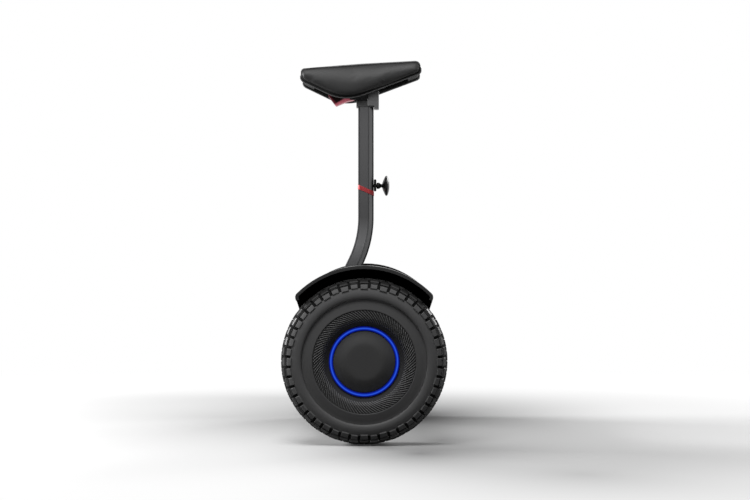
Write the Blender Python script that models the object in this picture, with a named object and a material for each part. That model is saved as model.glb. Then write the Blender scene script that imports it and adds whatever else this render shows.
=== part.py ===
"""Self-balancing scooter that is steered with the knees.

Metres, +Z up. The floor is at Z = 0 under the middle of the axle.
The scooter faces -X. Y runs across it, with the left wheel at -Y.
"""

import math

import bmesh
import bpy
from mathutils import Vector

# Clearances
SEAT_GAP = 0.0003            # between two pieces that touch
RUNNING_GAP = 0.0006         # between a turning piece and its seat

# Tyre
TYRE_RADIUS = 0.140          # over the tread blocks
TYRE_HALF_WIDTH = 0.042      # widest point of the sidewall
TYRE_BORE = 0.092
TREAD_DEPTH = 0.004
SIDE_BLOCK_HEIGHT = 0.0018
TREAD_COLUMNS = 48
BLOCK_SHARE = 0.58           # part of a column's angle that its block fills
CROWN_BLOCK_HALF_WIDTH = 0.012
CROWN_HALF_WIDTH = 0.033
CROWN_DROP = 0.003           # fall of the crown from its middle to its edge
SHOULDER_DROP = 0.013        # radial height of the shoulder under the middle of the crown
SHOULDER_INSET = 0.0025      # shoulder foot, in from the widest point
BEAD_HALF_WIDTH = 0.034
BEAD_HEIGHT = 0.012

# Rim, hub motor and covers, with depths measured out from the wheel's mid-plane
DRUM_WALL = 0.0075
RIM_LIP_THICKNESS = 0.0045
INNER_LIP_DROP = 0.004       # inner lip, lower than the outer one
RIM_SLOPE_DROP = 0.0028      # how far the smooth ring falls back towards the tyre
RIM_SHOULDER = 0.004         # width of its rounded inner shoulder
RIM_DISC_OUT = 0.0222        # outer face of the disc at the hub
RIM_DISC_WALL = 0.0042
COVER_RADIUS = 0.086         # outer edge of the patterned cover
COVER_THICKNESS = 0.004
COVER_RECESS = 0.001         # cover's edge behind the rim's lip
COVER_RISE = 0.012           # how far the cover dishes in from its edge to the light ring
COVER_SHOULDER_RADIUS = 0.073  # where the dish turns steep
COVER_SHOULDER_DROP = 0.0045   # shoulder behind the cover's edge
LIGHT_RADIUS = 0.059
LIGHT_WIDTH = 0.007
LIGHT_HEIGHT = 0.007
CAP_CROWN = 0.0135           # height of the hub cap over the rim disc
CAP_WALL = 0.003
MAGNET_THICKNESS = 0.0045
MAGNET_WIDTH = 0.036
STATOR_WIDTH = 0.032
INNER_COVER_THICKNESS = 0.004
BEARING_RADIUS = 0.017
BEARING_WIDTH = 0.010
AXLE_RADIUS = 0.008
VALVE_RADIUS = 0.0028
VALVE_LENGTH = 0.010

# Chassis
CHASSIS_HALF_WIDTH = 0.172
CHASSIS_HALF_LENGTH = 0.104
FLOOR_BELOW_AXLE = 0.0479    # underside of the frame
FLOOR_HALF_LENGTH = 0.072    # flat part of the underside
CHINE_HEIGHT = 0.018         # rise of the slanted chine
FRAME_WALL = 0.004
FRAME_ABOVE_AXLE = 0.0121    # top of the frame
DECK_HEIGHT = 0.008          # deck's top over the frame's
SKIRT_WALL = 0.0034
SKIRT_DROP = 0.022           # deck skirt under the deck's top
COVER_WALL = 0.003           # bottom cover
DECK_CORNER = 0.003
MAT_THICKNESS = 0.0048
MAT_PROUD = 0.0018           # mat over the deck
MAT_TRAVEL = 0.0015
MAT_INNER_EDGE = 0.050
MAT_MARGIN = 0.010           # mat to the side of the deck
MAT_HALF_LENGTH = 0.086
MAT_CORNER = 0.014
PEDESTAL_HALF_WIDTH = 0.034
CLAMP_HALF_LENGTH = 0.018
CLAMP_WIDTH = 0.018
BATTERY_HEIGHT = 0.031
BATTERY_LENGTH = 0.112
BATTERY_WIDTH = 0.150
BOARD_END_SPACE = 0.0304     # board to axle clamp
BOARD_LENGTH = 0.100
BOARD_THICKNESS = 0.0016
BOARD_HEIGHT = 0.010         # board over the tray's floor
BOARD_SPACE = 0.006          # board to battery
BATTERY_SPACE = 0.003        # battery to axle clamp
HEAT_SINK_INSET = 0.020

# Fender
FENDER_CLEARANCE = 0.020     # outside of the fender over the tyre
FENDER_SKIN = 0.003
FENDER_WALL = 0.004
FENDER_HALF_ANGLE = math.radians(46.6)
FENDER_LIP_HEIGHT = 0.0055
FENDER_LIP_WIDTH = 0.004
FENDER_TIP_RADIUS = 0.009
FENDER_TIP_STEPS = 4
FENDER_EDGE_STEPS = 6
FENDER_HEM = 0.009           # turned-down end, along its edge
FENDER_FLARE = math.radians(1.5)  # ends at the wall, past those at the lip
FENDER_END_LEAN = math.radians(18.5)
FENDER_FOOT_RISE = 0.020     # foot of the side wall over the underside
FENDER_FOOT_SETBACK = 0.006  # foot of the side wall, in from its width at the deck
TYRE_SIDE_GAP = 0.0137       # fender wall to the tyre's widest point
FENDER_SHORT_OF_TYRE = 0.012  # fender lip, in from the tyre's outer side

# Steering bar
BAR_DEPTH = 0.028            # fore and aft
BAR_WIDTH = 0.032
BAR_WALL = 0.0026
BAR_FRONT_CHAMFER = 0.0028
BAR_REAR_CHAMFER = 0.0078
BAR_X = 0.0016               # middle of the upright part
SLEEVE_LENGTH = 0.150        # from the middle of the red ring
RING_RISE = 0.0485           # middle of the red ring over the bend
RING_THICKNESS = 0.0082
RING_PROUD = 0.0006
RING_SLOPE = -0.43           # rise per metre towards the rear
BEND_RISE = 0.1895           # top of the bend over the pivot
BEND_RADIUS = 0.186
BEND_ANGLE = math.radians(26.0)
PIVOT_RISE = 0.036           # pivot over the deck
PIVOT_PIN_RADIUS = 0.006
PIVOT_HUB_RADIUS = 0.014
PIVOT_HUB_HALF_LENGTH = 0.017
PIN_OVERHANG = 0.0012        # pivot pin past its ears
BUSH_WALL = 0.003
BAR_FOOT = 0.026             # lower end of the bar from the pivot, along the bar
SPIGOT_LENGTH = 0.026
SPIGOT_PLATE = 0.004
HUB_NECK_INSET = 0.006       # neck under the plate, in from the bar's section
EAR_THICKNESS = 0.006
EAR_HALF_WIDTH = 0.011
HOUSING_BASE = 0.012
HOUSING_MARGIN = 0.003
TOWER_WALL = 0.003
TOWER_HEIGHT = 0.062
TOWER_TOP_HALF_WIDTH = 0.028
TOWER_FOOT_HALF_WIDTH = 0.043
TOWER_MARGIN = 0.006
TOWER_CORNER = 0.008

# Sleeve, clamp and knob
TUBE_WALL = 0.0024
TUBE_BELOW = 0.045           # inner tube under the red ring
PLUG_LENGTH = 0.010
CLAMP_RISE = 0.0085          # knob's axis over the red ring
CLAMP_PLATE_RISE = 0.0115     # plate over the knob's axis
CLAMP_PLATE_THICKNESS = 0.0046
CLAMP_PLATE_HALF_WIDTH = 0.0075
SCREW_RADIUS = 0.0032
KNOB_RADIUS = 0.0185
KNOB_LENGTH = 0.024          # from the plate to the end of the head
NECK_RADIUS = 0.0058
COLLAR_HEIGHT = 0.011
COLLAR_PLATE_THICKNESS = 0.0015
COLLAR_FRONT = 0.0172        # collar's front face from the middle of the bar
COLLAR_REAR = 0.0034
COLLAR_HALF_WIDTH = 0.018
POST_HALF_WIDTH = 0.011
POST_HEIGHT = 0.032

# Knee rest, with heights over the collar
WING_FRONT_X = -0.1150
WING_REAR_X = 0.1000
WING_FRONT_RISE = 0.0547     # top of the front end
WING_REAR_RISE = 0.0692
WING_FRONT_HEIGHT = 0.0215
WING_REAR_HEIGHT = 0.0230
WING_KEEL_X = -0.036         # where the two lower edges would meet, under the bar
WING_KEEL_DROP = 0.0048
WING_KEEL_RADIUS = 0.080
WING_NOSE_RADIUS = 0.012     # lower corner of the front end
WING_TAIL_RADIUS = 0.0060    # lower corner of the rear end
WING_FRONT_RADIUS = 0.0070   # upper corners
WING_REAR_RADIUS = 0.0100
WING_INNER = 0.050           # inner side of a pad from the middle
PAD_SPINE_INSET = 0.016      # ends of the line that a pad's sides draw in to
PAD_THICKNESS = 0.034
SHELL_WALL = 0.004
SHELL_DROP = 0.009           # top of the shell under the top of the pads
SHELL_INSET = 0.002          # shell inside the outline of the pads
SHELL_END_WALL = 0.022       # solid nose and tail of the shell
SOCKET_HALF_WIDTH = 0.019
SOCKET_FRONT_WALL = 0.0034
SOCKET_REAR_WALL = 0.003
BLOCK_LENGTH = 0.0197        # latch block, fore and aft
BLOCK_HALF_WIDTH = 0.017
BLOCK_HEIGHT = 0.027
BLOCK_HOOK = 0.005
LEVER_HALF_WIDTH = 0.014
LEVER_PIN_RADIUS = 0.0015
LEVER_HUB_RADIUS = 0.0042
LEVER_EAR_WIDTH = 0.0034
LEVER_PIN_FORWARD = 0.0065   # pin in front of the collar
LEVER_PIN_RISE = 0.0072      # pin over the collar's top
LEVER_EAR_MARGIN = 0.0015
LEVER_TIP = [(-0.014, 0.009, 0.003), (-0.047, 0.0055, 0.003),
             (-0.0306, -0.0158, 0.0015), (-0.0106, -0.0076, 0.002)]  # x, z, corner from the pin

# Lights, charge port and button
LIGHT_BAR_HALF_WIDTH = 0.110
TAIL_HALF_WIDTH = 0.060
LIGHT_BAR_HEIGHT = 0.008
LIGHT_BAR_DEPTH = 0.003
LENS_LENGTH = 0.050
LENS_HALF_WIDTH = 0.018
LENS_DEPTH = 0.0018
LENS_FRONT_X = 0.010
PORT_Y = 0.090
PORT_RISE = 0.032            # port and button over the underside
PORT_RADIUS = 0.0090
PORT_BORE = 0.0060
PORT_LENGTH = 0.015
PORT_FLOOR = 0.004
PORT_SET_BACK = 0.0006       # socket behind the cover's face
FLAP_HALF_WIDTH = 0.0115
FLAP_THICKNESS = 0.002
FLAP_OVERLAP = 0.0025        # flap past the socket's edge
BUTTON_Y = -0.070
BUTTON_RADIUS = 0.0072
BUTTON_LENGTH = 0.0045
BUTTON_TRAVEL = 0.0015

# Facets
ROUND_STEPS = 32             # visible rings of a wheel
INNER_STEPS = 24             # motor, hub and knob
SMALL_STEPS = 16             # pins and bores
ARC_STEPS = 22               # fender arc
BEND_STEPS = 6               # bend of the lower bar
SMOOTH_ANGLE = math.radians(32.0)

# Derived places
COLUMN_PITCH = 2 * math.pi / TREAD_COLUMNS
HALF_BLOCK = COLUMN_PITCH * BLOCK_SHARE / 2
AXLE_Z = TYRE_RADIUS * math.cos(HALF_BLOCK)
CHASSIS_FLOOR = AXLE_Z - FLOOR_BELOW_AXLE
FRAME_TOP = AXLE_Z + FRAME_ABOVE_AXLE
DECK_TOP = FRAME_TOP + DECK_HEIGHT
PORT_Z = CHASSIS_FLOOR + PORT_RISE
FENDER_RADIUS = TYRE_RADIUS + FENDER_CLEARANCE
FENDER_FOOT_Z = CHASSIS_FLOOR + FENDER_FOOT_RISE
MAT_OUTER_EDGE = CHASSIS_HALF_WIDTH - MAT_MARGIN
PIVOT_Z = DECK_TOP + PIVOT_RISE
BEND_TOP = PIVOT_Z + BEND_RISE
RING_HEIGHT_Z = BEND_TOP + RING_RISE
CLAMP_Z = RING_HEIGHT_Z + CLAMP_RISE
BAR_TOP = RING_HEIGHT_Z + SLEEVE_LENGTH
FENDER_INNER_Y = CHASSIS_HALF_WIDTH + SEAT_GAP
WHEEL_Y = FENDER_INNER_Y + FENDER_WALL + TYRE_SIDE_GAP + TYRE_HALF_WIDTH
DRUM_RADIUS = TYRE_BORE - SEAT_GAP
DRUM_INSIDE = DRUM_RADIUS - DRUM_WALL
DRUM_SEAT = DRUM_INSIDE * math.cos(math.pi / ROUND_STEPS) - SEAT_GAP  # inside its flats
FLANGE_FACE = BEAD_HALF_WIDTH + SEAT_GAP
LIP_FACE = FLANGE_FACE + RIM_LIP_THICKNESS
COVER_EDGE_OUT = LIP_FACE - COVER_RECESS
BAR_REAR = BAR_X + BAR_DEPTH / 2


def clear_scene():
    """Remove every object that the file starts with."""
    for thing in list(bpy.data.objects):
        bpy.data.objects.remove(thing, do_unlink=True)


def finish_of(name, colour, roughness, metallic):
    """One plain surface for one sub-part."""
    surface = bpy.data.materials.new(name)
    surface.use_nodes = True
    shader = surface.node_tree.nodes["Principled BSDF"]
    shader.inputs["Base Color"].default_value = (*colour, 1.0)
    shader.inputs["Roughness"].default_value = roughness
    shader.inputs["Metallic"].default_value = metallic
    return surface


RUBBER = ((0.022, 0.022, 0.023), 0.82, 0.0)
BLACK_PLASTIC = ((0.030, 0.030, 0.032), 0.50, 0.0)
GLOSS_BLACK = ((0.012, 0.012, 0.013), 0.18, 0.0)
GREY_PAINT = ((0.085, 0.085, 0.088), 0.42, 0.55)
DARK_PAINT = ((0.045, 0.045, 0.047), 0.45, 0.40)
BARE_METAL = ((0.55, 0.55, 0.56), 0.35, 1.0)
STEEL = ((0.42, 0.42, 0.43), 0.30, 1.0)
COPPER = ((0.55, 0.25, 0.12), 0.40, 1.0)
RED = ((0.52, 0.035, 0.030), 0.45, 0.0)
BLUE_LIGHT = ((0.020, 0.090, 0.850), 0.25, 0.0)
LEATHER = ((0.040, 0.040, 0.042), 0.60, 0.0)
CIRCUIT = ((0.020, 0.130, 0.050), 0.50, 0.0)
BATTERY_BLUE = ((0.030, 0.080, 0.220), 0.45, 0.0)
CLEAR_LENS = ((0.700, 0.720, 0.750), 0.12, 0.0)
TAIL_RED = ((0.350, 0.010, 0.010), 0.20, 0.0)


def make_object(name, shape, finish):
    """Turn a bmesh into a named object with its own surface."""
    bmesh.ops.remove_doubles(shape, verts=shape.verts, dist=1e-6)
    bmesh.ops.recalc_face_normals(shape, faces=shape.faces)
    mesh = bpy.data.meshes.new(name)
    shape.to_mesh(mesh)
    shape.free()
    mesh.shade_smooth()
    mesh.set_sharp_from_angle(angle=SMOOTH_ANGLE)
    mesh.materials.append(finish_of(name, *finish))
    item = bpy.data.objects.new(name, mesh)
    bpy.context.scene.collection.objects.link(item)
    return item


def placed(axis, a, b, along):
    """A point from its two outline coordinates and its place along an axis."""
    if axis == "X":
        return (along, a, b)
    if axis == "Y":
        return (a, along, b)
    return (a, b, along)


def skin_loops(shape, loops, closed=False):
    """Join loops of equal length with quads, and return the loops of vertices."""
    rings = [[shape.verts.new(point) for point in loop] for loop in loops]
    pairs = list(zip(rings, rings[1:]))
    if closed:
        pairs.append((rings[-1], rings[0]))
    for first, second in pairs:
        for i in range(len(first)):
            j = (i + 1) % len(first)
            shape.faces.new((first[i], first[j], second[j], second[i]))
    return rings


def stacked(name, loops, finish):
    """A solid through a stack of loops, capped at both ends."""
    shape = bmesh.new()
    rings = skin_loops(shape, loops)
    shape.faces.new(rings[0])
    shape.faces.new(list(reversed(rings[-1])))
    return make_object(name, shape, finish)


def hollow(name, outer, inner, finish):
    """A tube open at both ends, from its outer and inner loops."""
    shape = bmesh.new()
    skin_loops(shape, outer + list(reversed(inner)), closed=True)
    return make_object(name, shape, finish)


def prism(name, outline, axis, low, high, finish):
    """An outline pushed along an axis."""
    loops = [[placed(axis, a, b, along) for a, b in outline] for along in (low, high)]
    return stacked(name, loops, finish)


def block(name, low, high, finish, bevel=0.0, steps=1):
    """A box between two corners, with bevelled edges if asked for."""
    shape = bmesh.new()
    corners = [(low[0], low[1]), (high[0], low[1]), (high[0], high[1]), (low[0], high[1])]
    rings = skin_loops(shape, [[(x, y, z) for x, y in corners] for z in (low[2], high[2])])
    shape.faces.new(rings[0])
    shape.faces.new(list(reversed(rings[1])))
    if bevel > 0:
        bmesh.ops.recalc_face_normals(shape, faces=shape.faces)
        bmesh.ops.bevel(shape, geom=shape.edges[:], offset=bevel, segments=steps,
                        profile=0.5, affect="EDGES")
    return make_object(name, shape, finish)


def turned(name, profile, centre, axis, finish, steps=ROUND_STEPS, side=1):
    """A closed profile of (depth, radius) points turned round an axis through a centre."""
    shape = bmesh.new()
    rings = []
    for depth, radius in profile:
        count = steps if radius > 1e-6 else 1
        ring = []
        for i in range(count):
            angle = (i + 0.5) * 2 * math.pi / steps
            across = radius * math.cos(angle)
            up = radius * math.sin(angle)
            offset = placed(axis, across, up, side * depth)
            ring.append(shape.verts.new(Vector(centre) + Vector(offset)))
        rings.append(ring)
    for first, second in zip(rings, rings[1:] + rings[:1]):
        if len(first) == 1 and len(second) == 1:
            continue
        for i in range(steps):
            j = (i + 1) % steps
            corners = [first[i % len(first)], first[j % len(first)],
                       second[j % len(second)], second[i % len(second)]]
            shape.faces.new(list(dict.fromkeys(corners)))
    return make_object(name, shape, finish)


def rod(name, centre, axis, radius, low, high, finish, steps=SMALL_STEPS):
    """A round rod along an axis, between two places on it."""
    profile = [(low, 0.0), (low, radius), (high, radius), (high, 0.0)]
    return turned(name, profile, centre, axis, finish, steps)


def rounded(corners, steps=4):
    """An outline whose corners (a, b, radius) are rounded with arcs."""
    outline = []
    for i, (a, b, radius) in enumerate(corners):
        here = Vector((a, b))
        before = (Vector(corners[i - 1][:2]) - here).normalized()
        after = (Vector(corners[(i + 1) % len(corners)][:2]) - here).normalized()
        if radius <= 0:
            outline.append((a, b))
            continue
        half = before.angle(after) / 2
        reach = radius / math.tan(half)
        middle = here + (before + after).normalized() * (radius / math.sin(half))
        start = here + before * reach - middle
        end = here + after * reach - middle
        sweep = start.angle_signed(end)
        for k in range(steps + 1):
            turn = -sweep * k / steps
            arm = Vector((start.x * math.cos(turn) - start.y * math.sin(turn),
                          start.x * math.sin(turn) + start.y * math.cos(turn)))
            outline.append(tuple(middle + arm))
    return outline


def combine(body, tool, operation):
    """Add or take away a hidden tool."""
    step = body.modifiers.new(operation.lower(), "BOOLEAN")
    step.operation = operation
    step.solver = "EXACT"
    step.object = tool
    tool.hide_render = True
    tool.display_type = "WIRE"
    return body


def carrier(name, place):
    """An empty on a joint's axis, which carries the pieces of a moving body."""
    empty = bpy.data.objects.new(name, None)
    empty.location = place
    empty.empty_display_size = 0.02
    bpy.context.scene.collection.objects.link(empty)
    return empty


def carry(pieces, empty):
    """Parent pieces to an empty and leave them where they are."""
    for piece in pieces:
        piece.parent = empty
        piece.location = [-value for value in empty.location]


def tyre(name, side):
    """Knobbly tyre: a ring whose crown and shoulders carry staggered blocks."""
    crown = TYRE_RADIUS - TREAD_DEPTH
    shoulder = CROWN_HALF_WIDTH
    foot = TYRE_HALF_WIDTH - SHOULDER_INSET
    lip = TYRE_BORE + BEAD_HEIGHT
    widest = (lip + crown - SHOULDER_DROP) / 2
    half = [(CROWN_BLOCK_HALF_WIDTH, crown, True),
            (shoulder, crown - CROWN_DROP, True),
            (foot, crown - SHOULDER_DROP, True),
            (TYRE_HALF_WIDTH, widest, False),
            (BEAD_HALF_WIDTH, lip, False),
            (BEAD_HALF_WIDTH, TYRE_BORE, False)]
    rows = [(-u, r, fine) for u, r, fine in reversed(half)] + half
    shape = bmesh.new()
    rings = []
    for u, radius, fine in rows:
        ring = []
        for column in range(TREAD_COLUMNS):
            turns = (-HALF_BLOCK, HALF_BLOCK) if fine else (COLUMN_PITCH / 2,)
            for turn in turns:
                angle = column * COLUMN_PITCH + turn
                ring.append(shape.verts.new((radius * math.cos(angle), side * (WHEEL_Y + u),
                                             AXLE_Z + radius * math.sin(angle))))
        rings.append((ring, fine, u, radius))
    for k, (ring, fine, u, radius) in enumerate(rings):
        other, other_fine, other_u, other_radius = rings[(k + 1) % len(rings)]
        for column in range(TREAD_COLUMNS):
            following = (column + 1) % TREAD_COLUMNS
            if not fine and not other_fine:
                shape.faces.new((ring[column - 1], ring[column], other[column], other[column - 1]))
            elif fine and other_fine:
                height = block_height(u, other_u, column)
                reach = 1 if abs(u + other_u) < 1e-6 and column % 2 == 0 else 0
                stops = range(2 * column - reach, 2 * column + 2 + reach)
                lines = [[line[stop % len(line)] for stop in stops] for line in (ring, other)]
                if height > 0:
                    raise_block(shape, *lines, height, (other_u - u, other_radius - radius), side)
                else:
                    shape.faces.new(lines[0] + lines[1][::-1])
                if abs(u + other_u) > 1e-6:
                    shape.faces.new((ring[2 * column + 1], ring[2 * following],
                                     other[2 * following], other[2 * column + 1]))
            else:
                coarse, dense = (ring, other) if other_fine else (other, ring)
                shape.faces.new((coarse[column - 1], coarse[column],
                                 dense[2 * column + 1], dense[2 * column]))
                shape.faces.new((coarse[column], dense[2 * following], dense[2 * column + 1]))
    return make_object(name, shape, RUBBER)


def block_height(u, other_u, column):
    """Height of a column's tread block in one row: middle and edge blocks take turns."""
    middle = abs(u + other_u) < 1e-6
    on_side = max(abs(u), abs(other_u)) > CROWN_HALF_WIDTH + 1e-6
    if on_side:
        return SIDE_BLOCK_HEIGHT if column % 2 == 0 else SIDE_BLOCK_HEIGHT * 0.6
    if middle:
        return TREAD_DEPTH if column % 2 == 0 else 0.0
    return TREAD_DEPTH if column % 2 == 1 else 0.0


def raise_block(shape, line, other, height, run, side):
    """Raise one tread block between two lines of points, with walls and a top."""
    length = math.hypot(*run)
    across, outward = -run[1] / length, run[0] / length
    foot = line + other[::-1]
    tops = []
    for corner in foot:
        arm = Vector((corner.co.x, 0, corner.co.z - AXLE_Z)).normalized()
        lift = arm * outward + Vector((0, side * across, 0))
        tops.append(shape.verts.new(corner.co + lift * height))
    for i in range(len(line) - 1):
        shape.faces.new((tops[i], tops[i + 1], tops[-2 - i], tops[-1 - i]))
    for i in range(len(foot)):
        j = (i + 1) % len(foot)
        shape.faces.new((foot[i], foot[j], tops[j], tops[i]))


def rim(name, side):
    """Motor drum that carries the tyre, with its two lips and its outer disc."""
    lip = TYRE_BORE + BEAD_HEIGHT
    cover_seat = COVER_EDGE_OUT - COVER_THICKNESS - SEAT_GAP
    step = COVER_RADIUS + SEAT_GAP
    dish_foot = LIGHT_RADIUS + COVER_THICKNESS
    inside = RIM_DISC_OUT - RIM_DISC_WALL
    profile = [(-LIP_FACE, lip - INNER_LIP_DROP),
               (-FLANGE_FACE, lip - INNER_LIP_DROP),
               (-FLANGE_FACE, DRUM_RADIUS),
               (FLANGE_FACE, DRUM_RADIUS),
               (FLANGE_FACE, lip),
               (LIP_FACE - RIM_SLOPE_DROP, lip),
               (LIP_FACE - RIM_SLOPE_DROP * 0.7, lip - RIM_SHOULDER),
               (LIP_FACE, step + RIM_SHOULDER),
               (LIP_FACE - 0.0005, step),
               (cover_seat, step),
               (RIM_DISC_OUT, dish_foot),
               (RIM_DISC_OUT, 0.0),
               (inside, 0.0),
               (inside, DRUM_INSIDE),
               (-LIP_FACE, DRUM_INSIDE)]
    return turned(name, profile, (0, side * WHEEL_Y, AXLE_Z), "Y", DARK_PAINT, side=side)


def patterned_cover(name, side):
    """Dished ring between the rim's lip and the light ring."""
    back = COVER_EDGE_OUT - COVER_THICKNESS
    inner = LIGHT_RADIUS + SEAT_GAP
    seat = RIM_DISC_OUT + SEAT_GAP
    front = COVER_EDGE_OUT - COVER_RISE
    profile = [(COVER_EDGE_OUT, COVER_RADIUS),
               (COVER_EDGE_OUT - COVER_SHOULDER_DROP, COVER_SHOULDER_RADIUS),
               (front, inner + 0.004),
               (front + 0.0006, inner),
               (seat, inner),
               (seat, inner + COVER_THICKNESS),
               (back, COVER_RADIUS)]
    return turned(name, profile, (0, side * WHEEL_Y, AXLE_Z), "Y", BLACK_PLASTIC, side=side)


def light_ring(name, side):
    """Translucent ring with a rounded face."""
    seat = RIM_DISC_OUT + SEAT_GAP
    inner = LIGHT_RADIUS - LIGHT_WIDTH
    crest = seat + LIGHT_HEIGHT
    profile = [(seat, inner),
               (seat, LIGHT_RADIUS),
               (crest - 0.001, LIGHT_RADIUS),
               (crest, LIGHT_RADIUS - LIGHT_WIDTH / 2),
               (crest - 0.001, inner)]
    return turned(name, profile, (0, side * WHEEL_Y, AXLE_Z), "Y", BLUE_LIGHT, side=side)


def hub_cap(name, side):
    """Domed cap with a flat middle, open at the back."""
    seat = RIM_DISC_OUT + SEAT_GAP
    edge = LIGHT_RADIUS - LIGHT_WIDTH - SEAT_GAP
    crest = RIM_DISC_OUT + CAP_CROWN
    rim_face = seat + LIGHT_HEIGHT * 0.6
    shoulder = [(crest, 0.0),
                (crest, edge * 0.58),
                (crest - 0.0016, edge * 0.70),
                (crest - 0.0050, edge * 0.87),
                (rim_face, edge)]
    inside = [(seat, edge),
              (seat, edge - CAP_WALL),
              (crest - CAP_WALL - 0.003, edge * 0.78),
              (crest - CAP_WALL, 0.0)]
    return turned(name, shoulder + inside, (0, side * WHEEL_Y, AXLE_Z), "Y", BLACK_PLASTIC,
                  side=side)


def wheel(label, side):
    """Everything that turns with one wheel."""
    centre = (0, side * WHEEL_Y, AXLE_Z)
    magnet_inner = DRUM_SEAT - MAGNET_THICKNESS
    magnet_end = RIM_DISC_OUT - RIM_DISC_WALL - SEAT_GAP
    magnets = [(magnet_end, magnet_inner), (magnet_end, DRUM_SEAT),
               (magnet_end - MAGNET_WIDTH, DRUM_SEAT), (magnet_end - MAGNET_WIDTH, magnet_inner)]
    lid_in = -LIP_FACE
    lid_out = lid_in + INNER_COVER_THICKNESS
    boss = lid_in + BEARING_WIDTH
    bore = BEARING_RADIUS + SEAT_GAP
    lid = [(lid_in, bore), (boss, bore), (boss, bore + 0.005), (lid_out, bore + 0.008),
           (lid_out, DRUM_SEAT), (lid_in, DRUM_SEAT)]
    race = AXLE_RADIUS + SEAT_GAP
    bearing = [(lid_in, race), (lid_in, BEARING_RADIUS), (boss, BEARING_RADIUS), (boss, race)]
    root = lid_in - SEAT_GAP
    stem = [(root, 0.0), (root, VALVE_RADIUS), (root - VALVE_LENGTH * 0.35, VALVE_RADIUS),
            (root - VALVE_LENGTH * 0.4, VALVE_RADIUS * 0.7),
            (root - VALVE_LENGTH * 0.55, VALVE_RADIUS), (root - VALVE_LENGTH, VALVE_RADIUS * 0.85),
            (root - VALVE_LENGTH, 0.0)]
    valve_arm = DRUM_RADIUS - DRUM_WALL / 2
    valve_centre = (centre[0] + valve_arm, centre[1], centre[2])
    return [tyre("tyre_" + label, side),
            rim("rim_" + label, side),
            patterned_cover("hub_cover_" + label, side),
            light_ring("light_ring_" + label, side),
            hub_cap("hub_cap_" + label, side),
            turned("magnet_ring_" + label, magnets, centre, "Y", STEEL, INNER_STEPS, side),
            turned("motor_cover_" + label, lid, centre, "Y", DARK_PAINT, INNER_STEPS, side),
            turned("bearing_" + label, bearing, centre, "Y", STEEL, SMALL_STEPS, side),
            turned("valve_" + label, stem, valve_centre, "Y", BARE_METAL, 8, side)]


def wheel_supports(label, side):
    """The fixed axle, the stator on it and the clamp that holds it in the frame."""
    centre = (0, side * WHEEL_Y, AXLE_Z)
    magnet_end = RIM_DISC_OUT - RIM_DISC_WALL - SEAT_GAP
    stator_outer = DRUM_SEAT - MAGNET_THICKNESS - RUNNING_GAP * 1.5
    stator_out = magnet_end - (MAGNET_WIDTH - STATOR_WIDTH) / 2
    stator_in = stator_out - STATOR_WIDTH
    hub = AXLE_RADIUS + SEAT_GAP
    web = STATOR_WIDTH / 4
    stator = [(stator_in, stator_outer), (stator_out, stator_outer),
              (stator_out - web, stator_outer - 0.014), (stator_out, hub),
              (stator_in, hub), (stator_in + web, stator_outer - 0.014)]
    clamp_out = CHASSIS_HALF_WIDTH - FRAME_WALL - SEAT_GAP
    clamp_in = clamp_out - CLAMP_WIDTH
    axle = rod("axle_" + label, (0, 0, AXLE_Z), "Y", AXLE_RADIUS,
               *sorted((side * (clamp_in - 0.004), side * (WHEEL_Y + stator_out + 0.001))), STEEL)
    floor = CHASSIS_FLOOR + FRAME_WALL + SEAT_GAP
    clamp = block("axle_clamp_" + label,
                  (-CLAMP_HALF_LENGTH, min(side * clamp_in, side * clamp_out), floor),
                  (CLAMP_HALF_LENGTH, max(side * clamp_in, side * clamp_out),
                   FRAME_TOP - SEAT_GAP), BARE_METAL, 0.002)
    bore = rod("clamp_bore_" + label, (0, 0, AXLE_Z), "Y", AXLE_RADIUS + SEAT_GAP,
               *sorted((side * (clamp_in - 0.01), side * (clamp_out + 0.01))), STEEL)
    combine(clamp, bore, "DIFFERENCE")
    return [axle, clamp,
            turned("stator_" + label, stator, centre, "Y", COPPER, INNER_STEPS, side)]


# Foot of the steering bar: where its slanted run meets the pivot
BEND_END_Z = BEND_TOP - BEND_RADIUS * math.sin(BEND_ANGLE)
BEND_END_X = BAR_X - BEND_RADIUS * (1 - math.cos(BEND_ANGLE))
PIVOT_X = BEND_END_X - (BEND_END_Z - PIVOT_Z) * math.tan(BEND_ANGLE)
EAR_REACH = PIVOT_HUB_HALF_LENGTH + SEAT_GAP + EAR_THICKNESS
HOUSING_FRONT = PIVOT_X - EAR_REACH - HOUSING_MARGIN
HOUSING_REAR = PIVOT_X + EAR_REACH + HOUSING_MARGIN
HOUSING_HALF_WIDTH = PEDESTAL_HALF_WIDTH - 0.002
TRAY_FLOOR = CHASSIS_FLOOR + FRAME_WALL + SEAT_GAP
SKIRT_X = CHASSIS_HALF_LENGTH + SEAT_GAP + SKIRT_WALL
SKIRT_Z = DECK_TOP - SKIRT_DROP
COVER_X = CHASSIS_HALF_LENGTH + SEAT_GAP + COVER_WALL
MAT_BOTTOM = DECK_TOP + MAT_PROUD - MAT_THICKNESS


def hull_outline(grow, top):
    """Cross-section of the chassis: flat floor, slanted chines, upright sides."""
    lean = math.atan2(CHINE_HEIGHT, CHASSIS_HALF_LENGTH - FLOOR_HALF_LENGTH)
    floor_x = FLOOR_HALF_LENGTH + grow * math.tan(lean / 2)
    side_z = CHASSIS_FLOOR + CHINE_HEIGHT - grow * math.tan(math.pi / 4 - lean / 2)
    side_x = CHASSIS_HALF_LENGTH + grow
    floor = CHASSIS_FLOOR - grow
    return [(-side_x, top), (-side_x, side_z), (-floor_x, floor),
            (floor_x, floor), (side_x, side_z), (side_x, top)]


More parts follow.
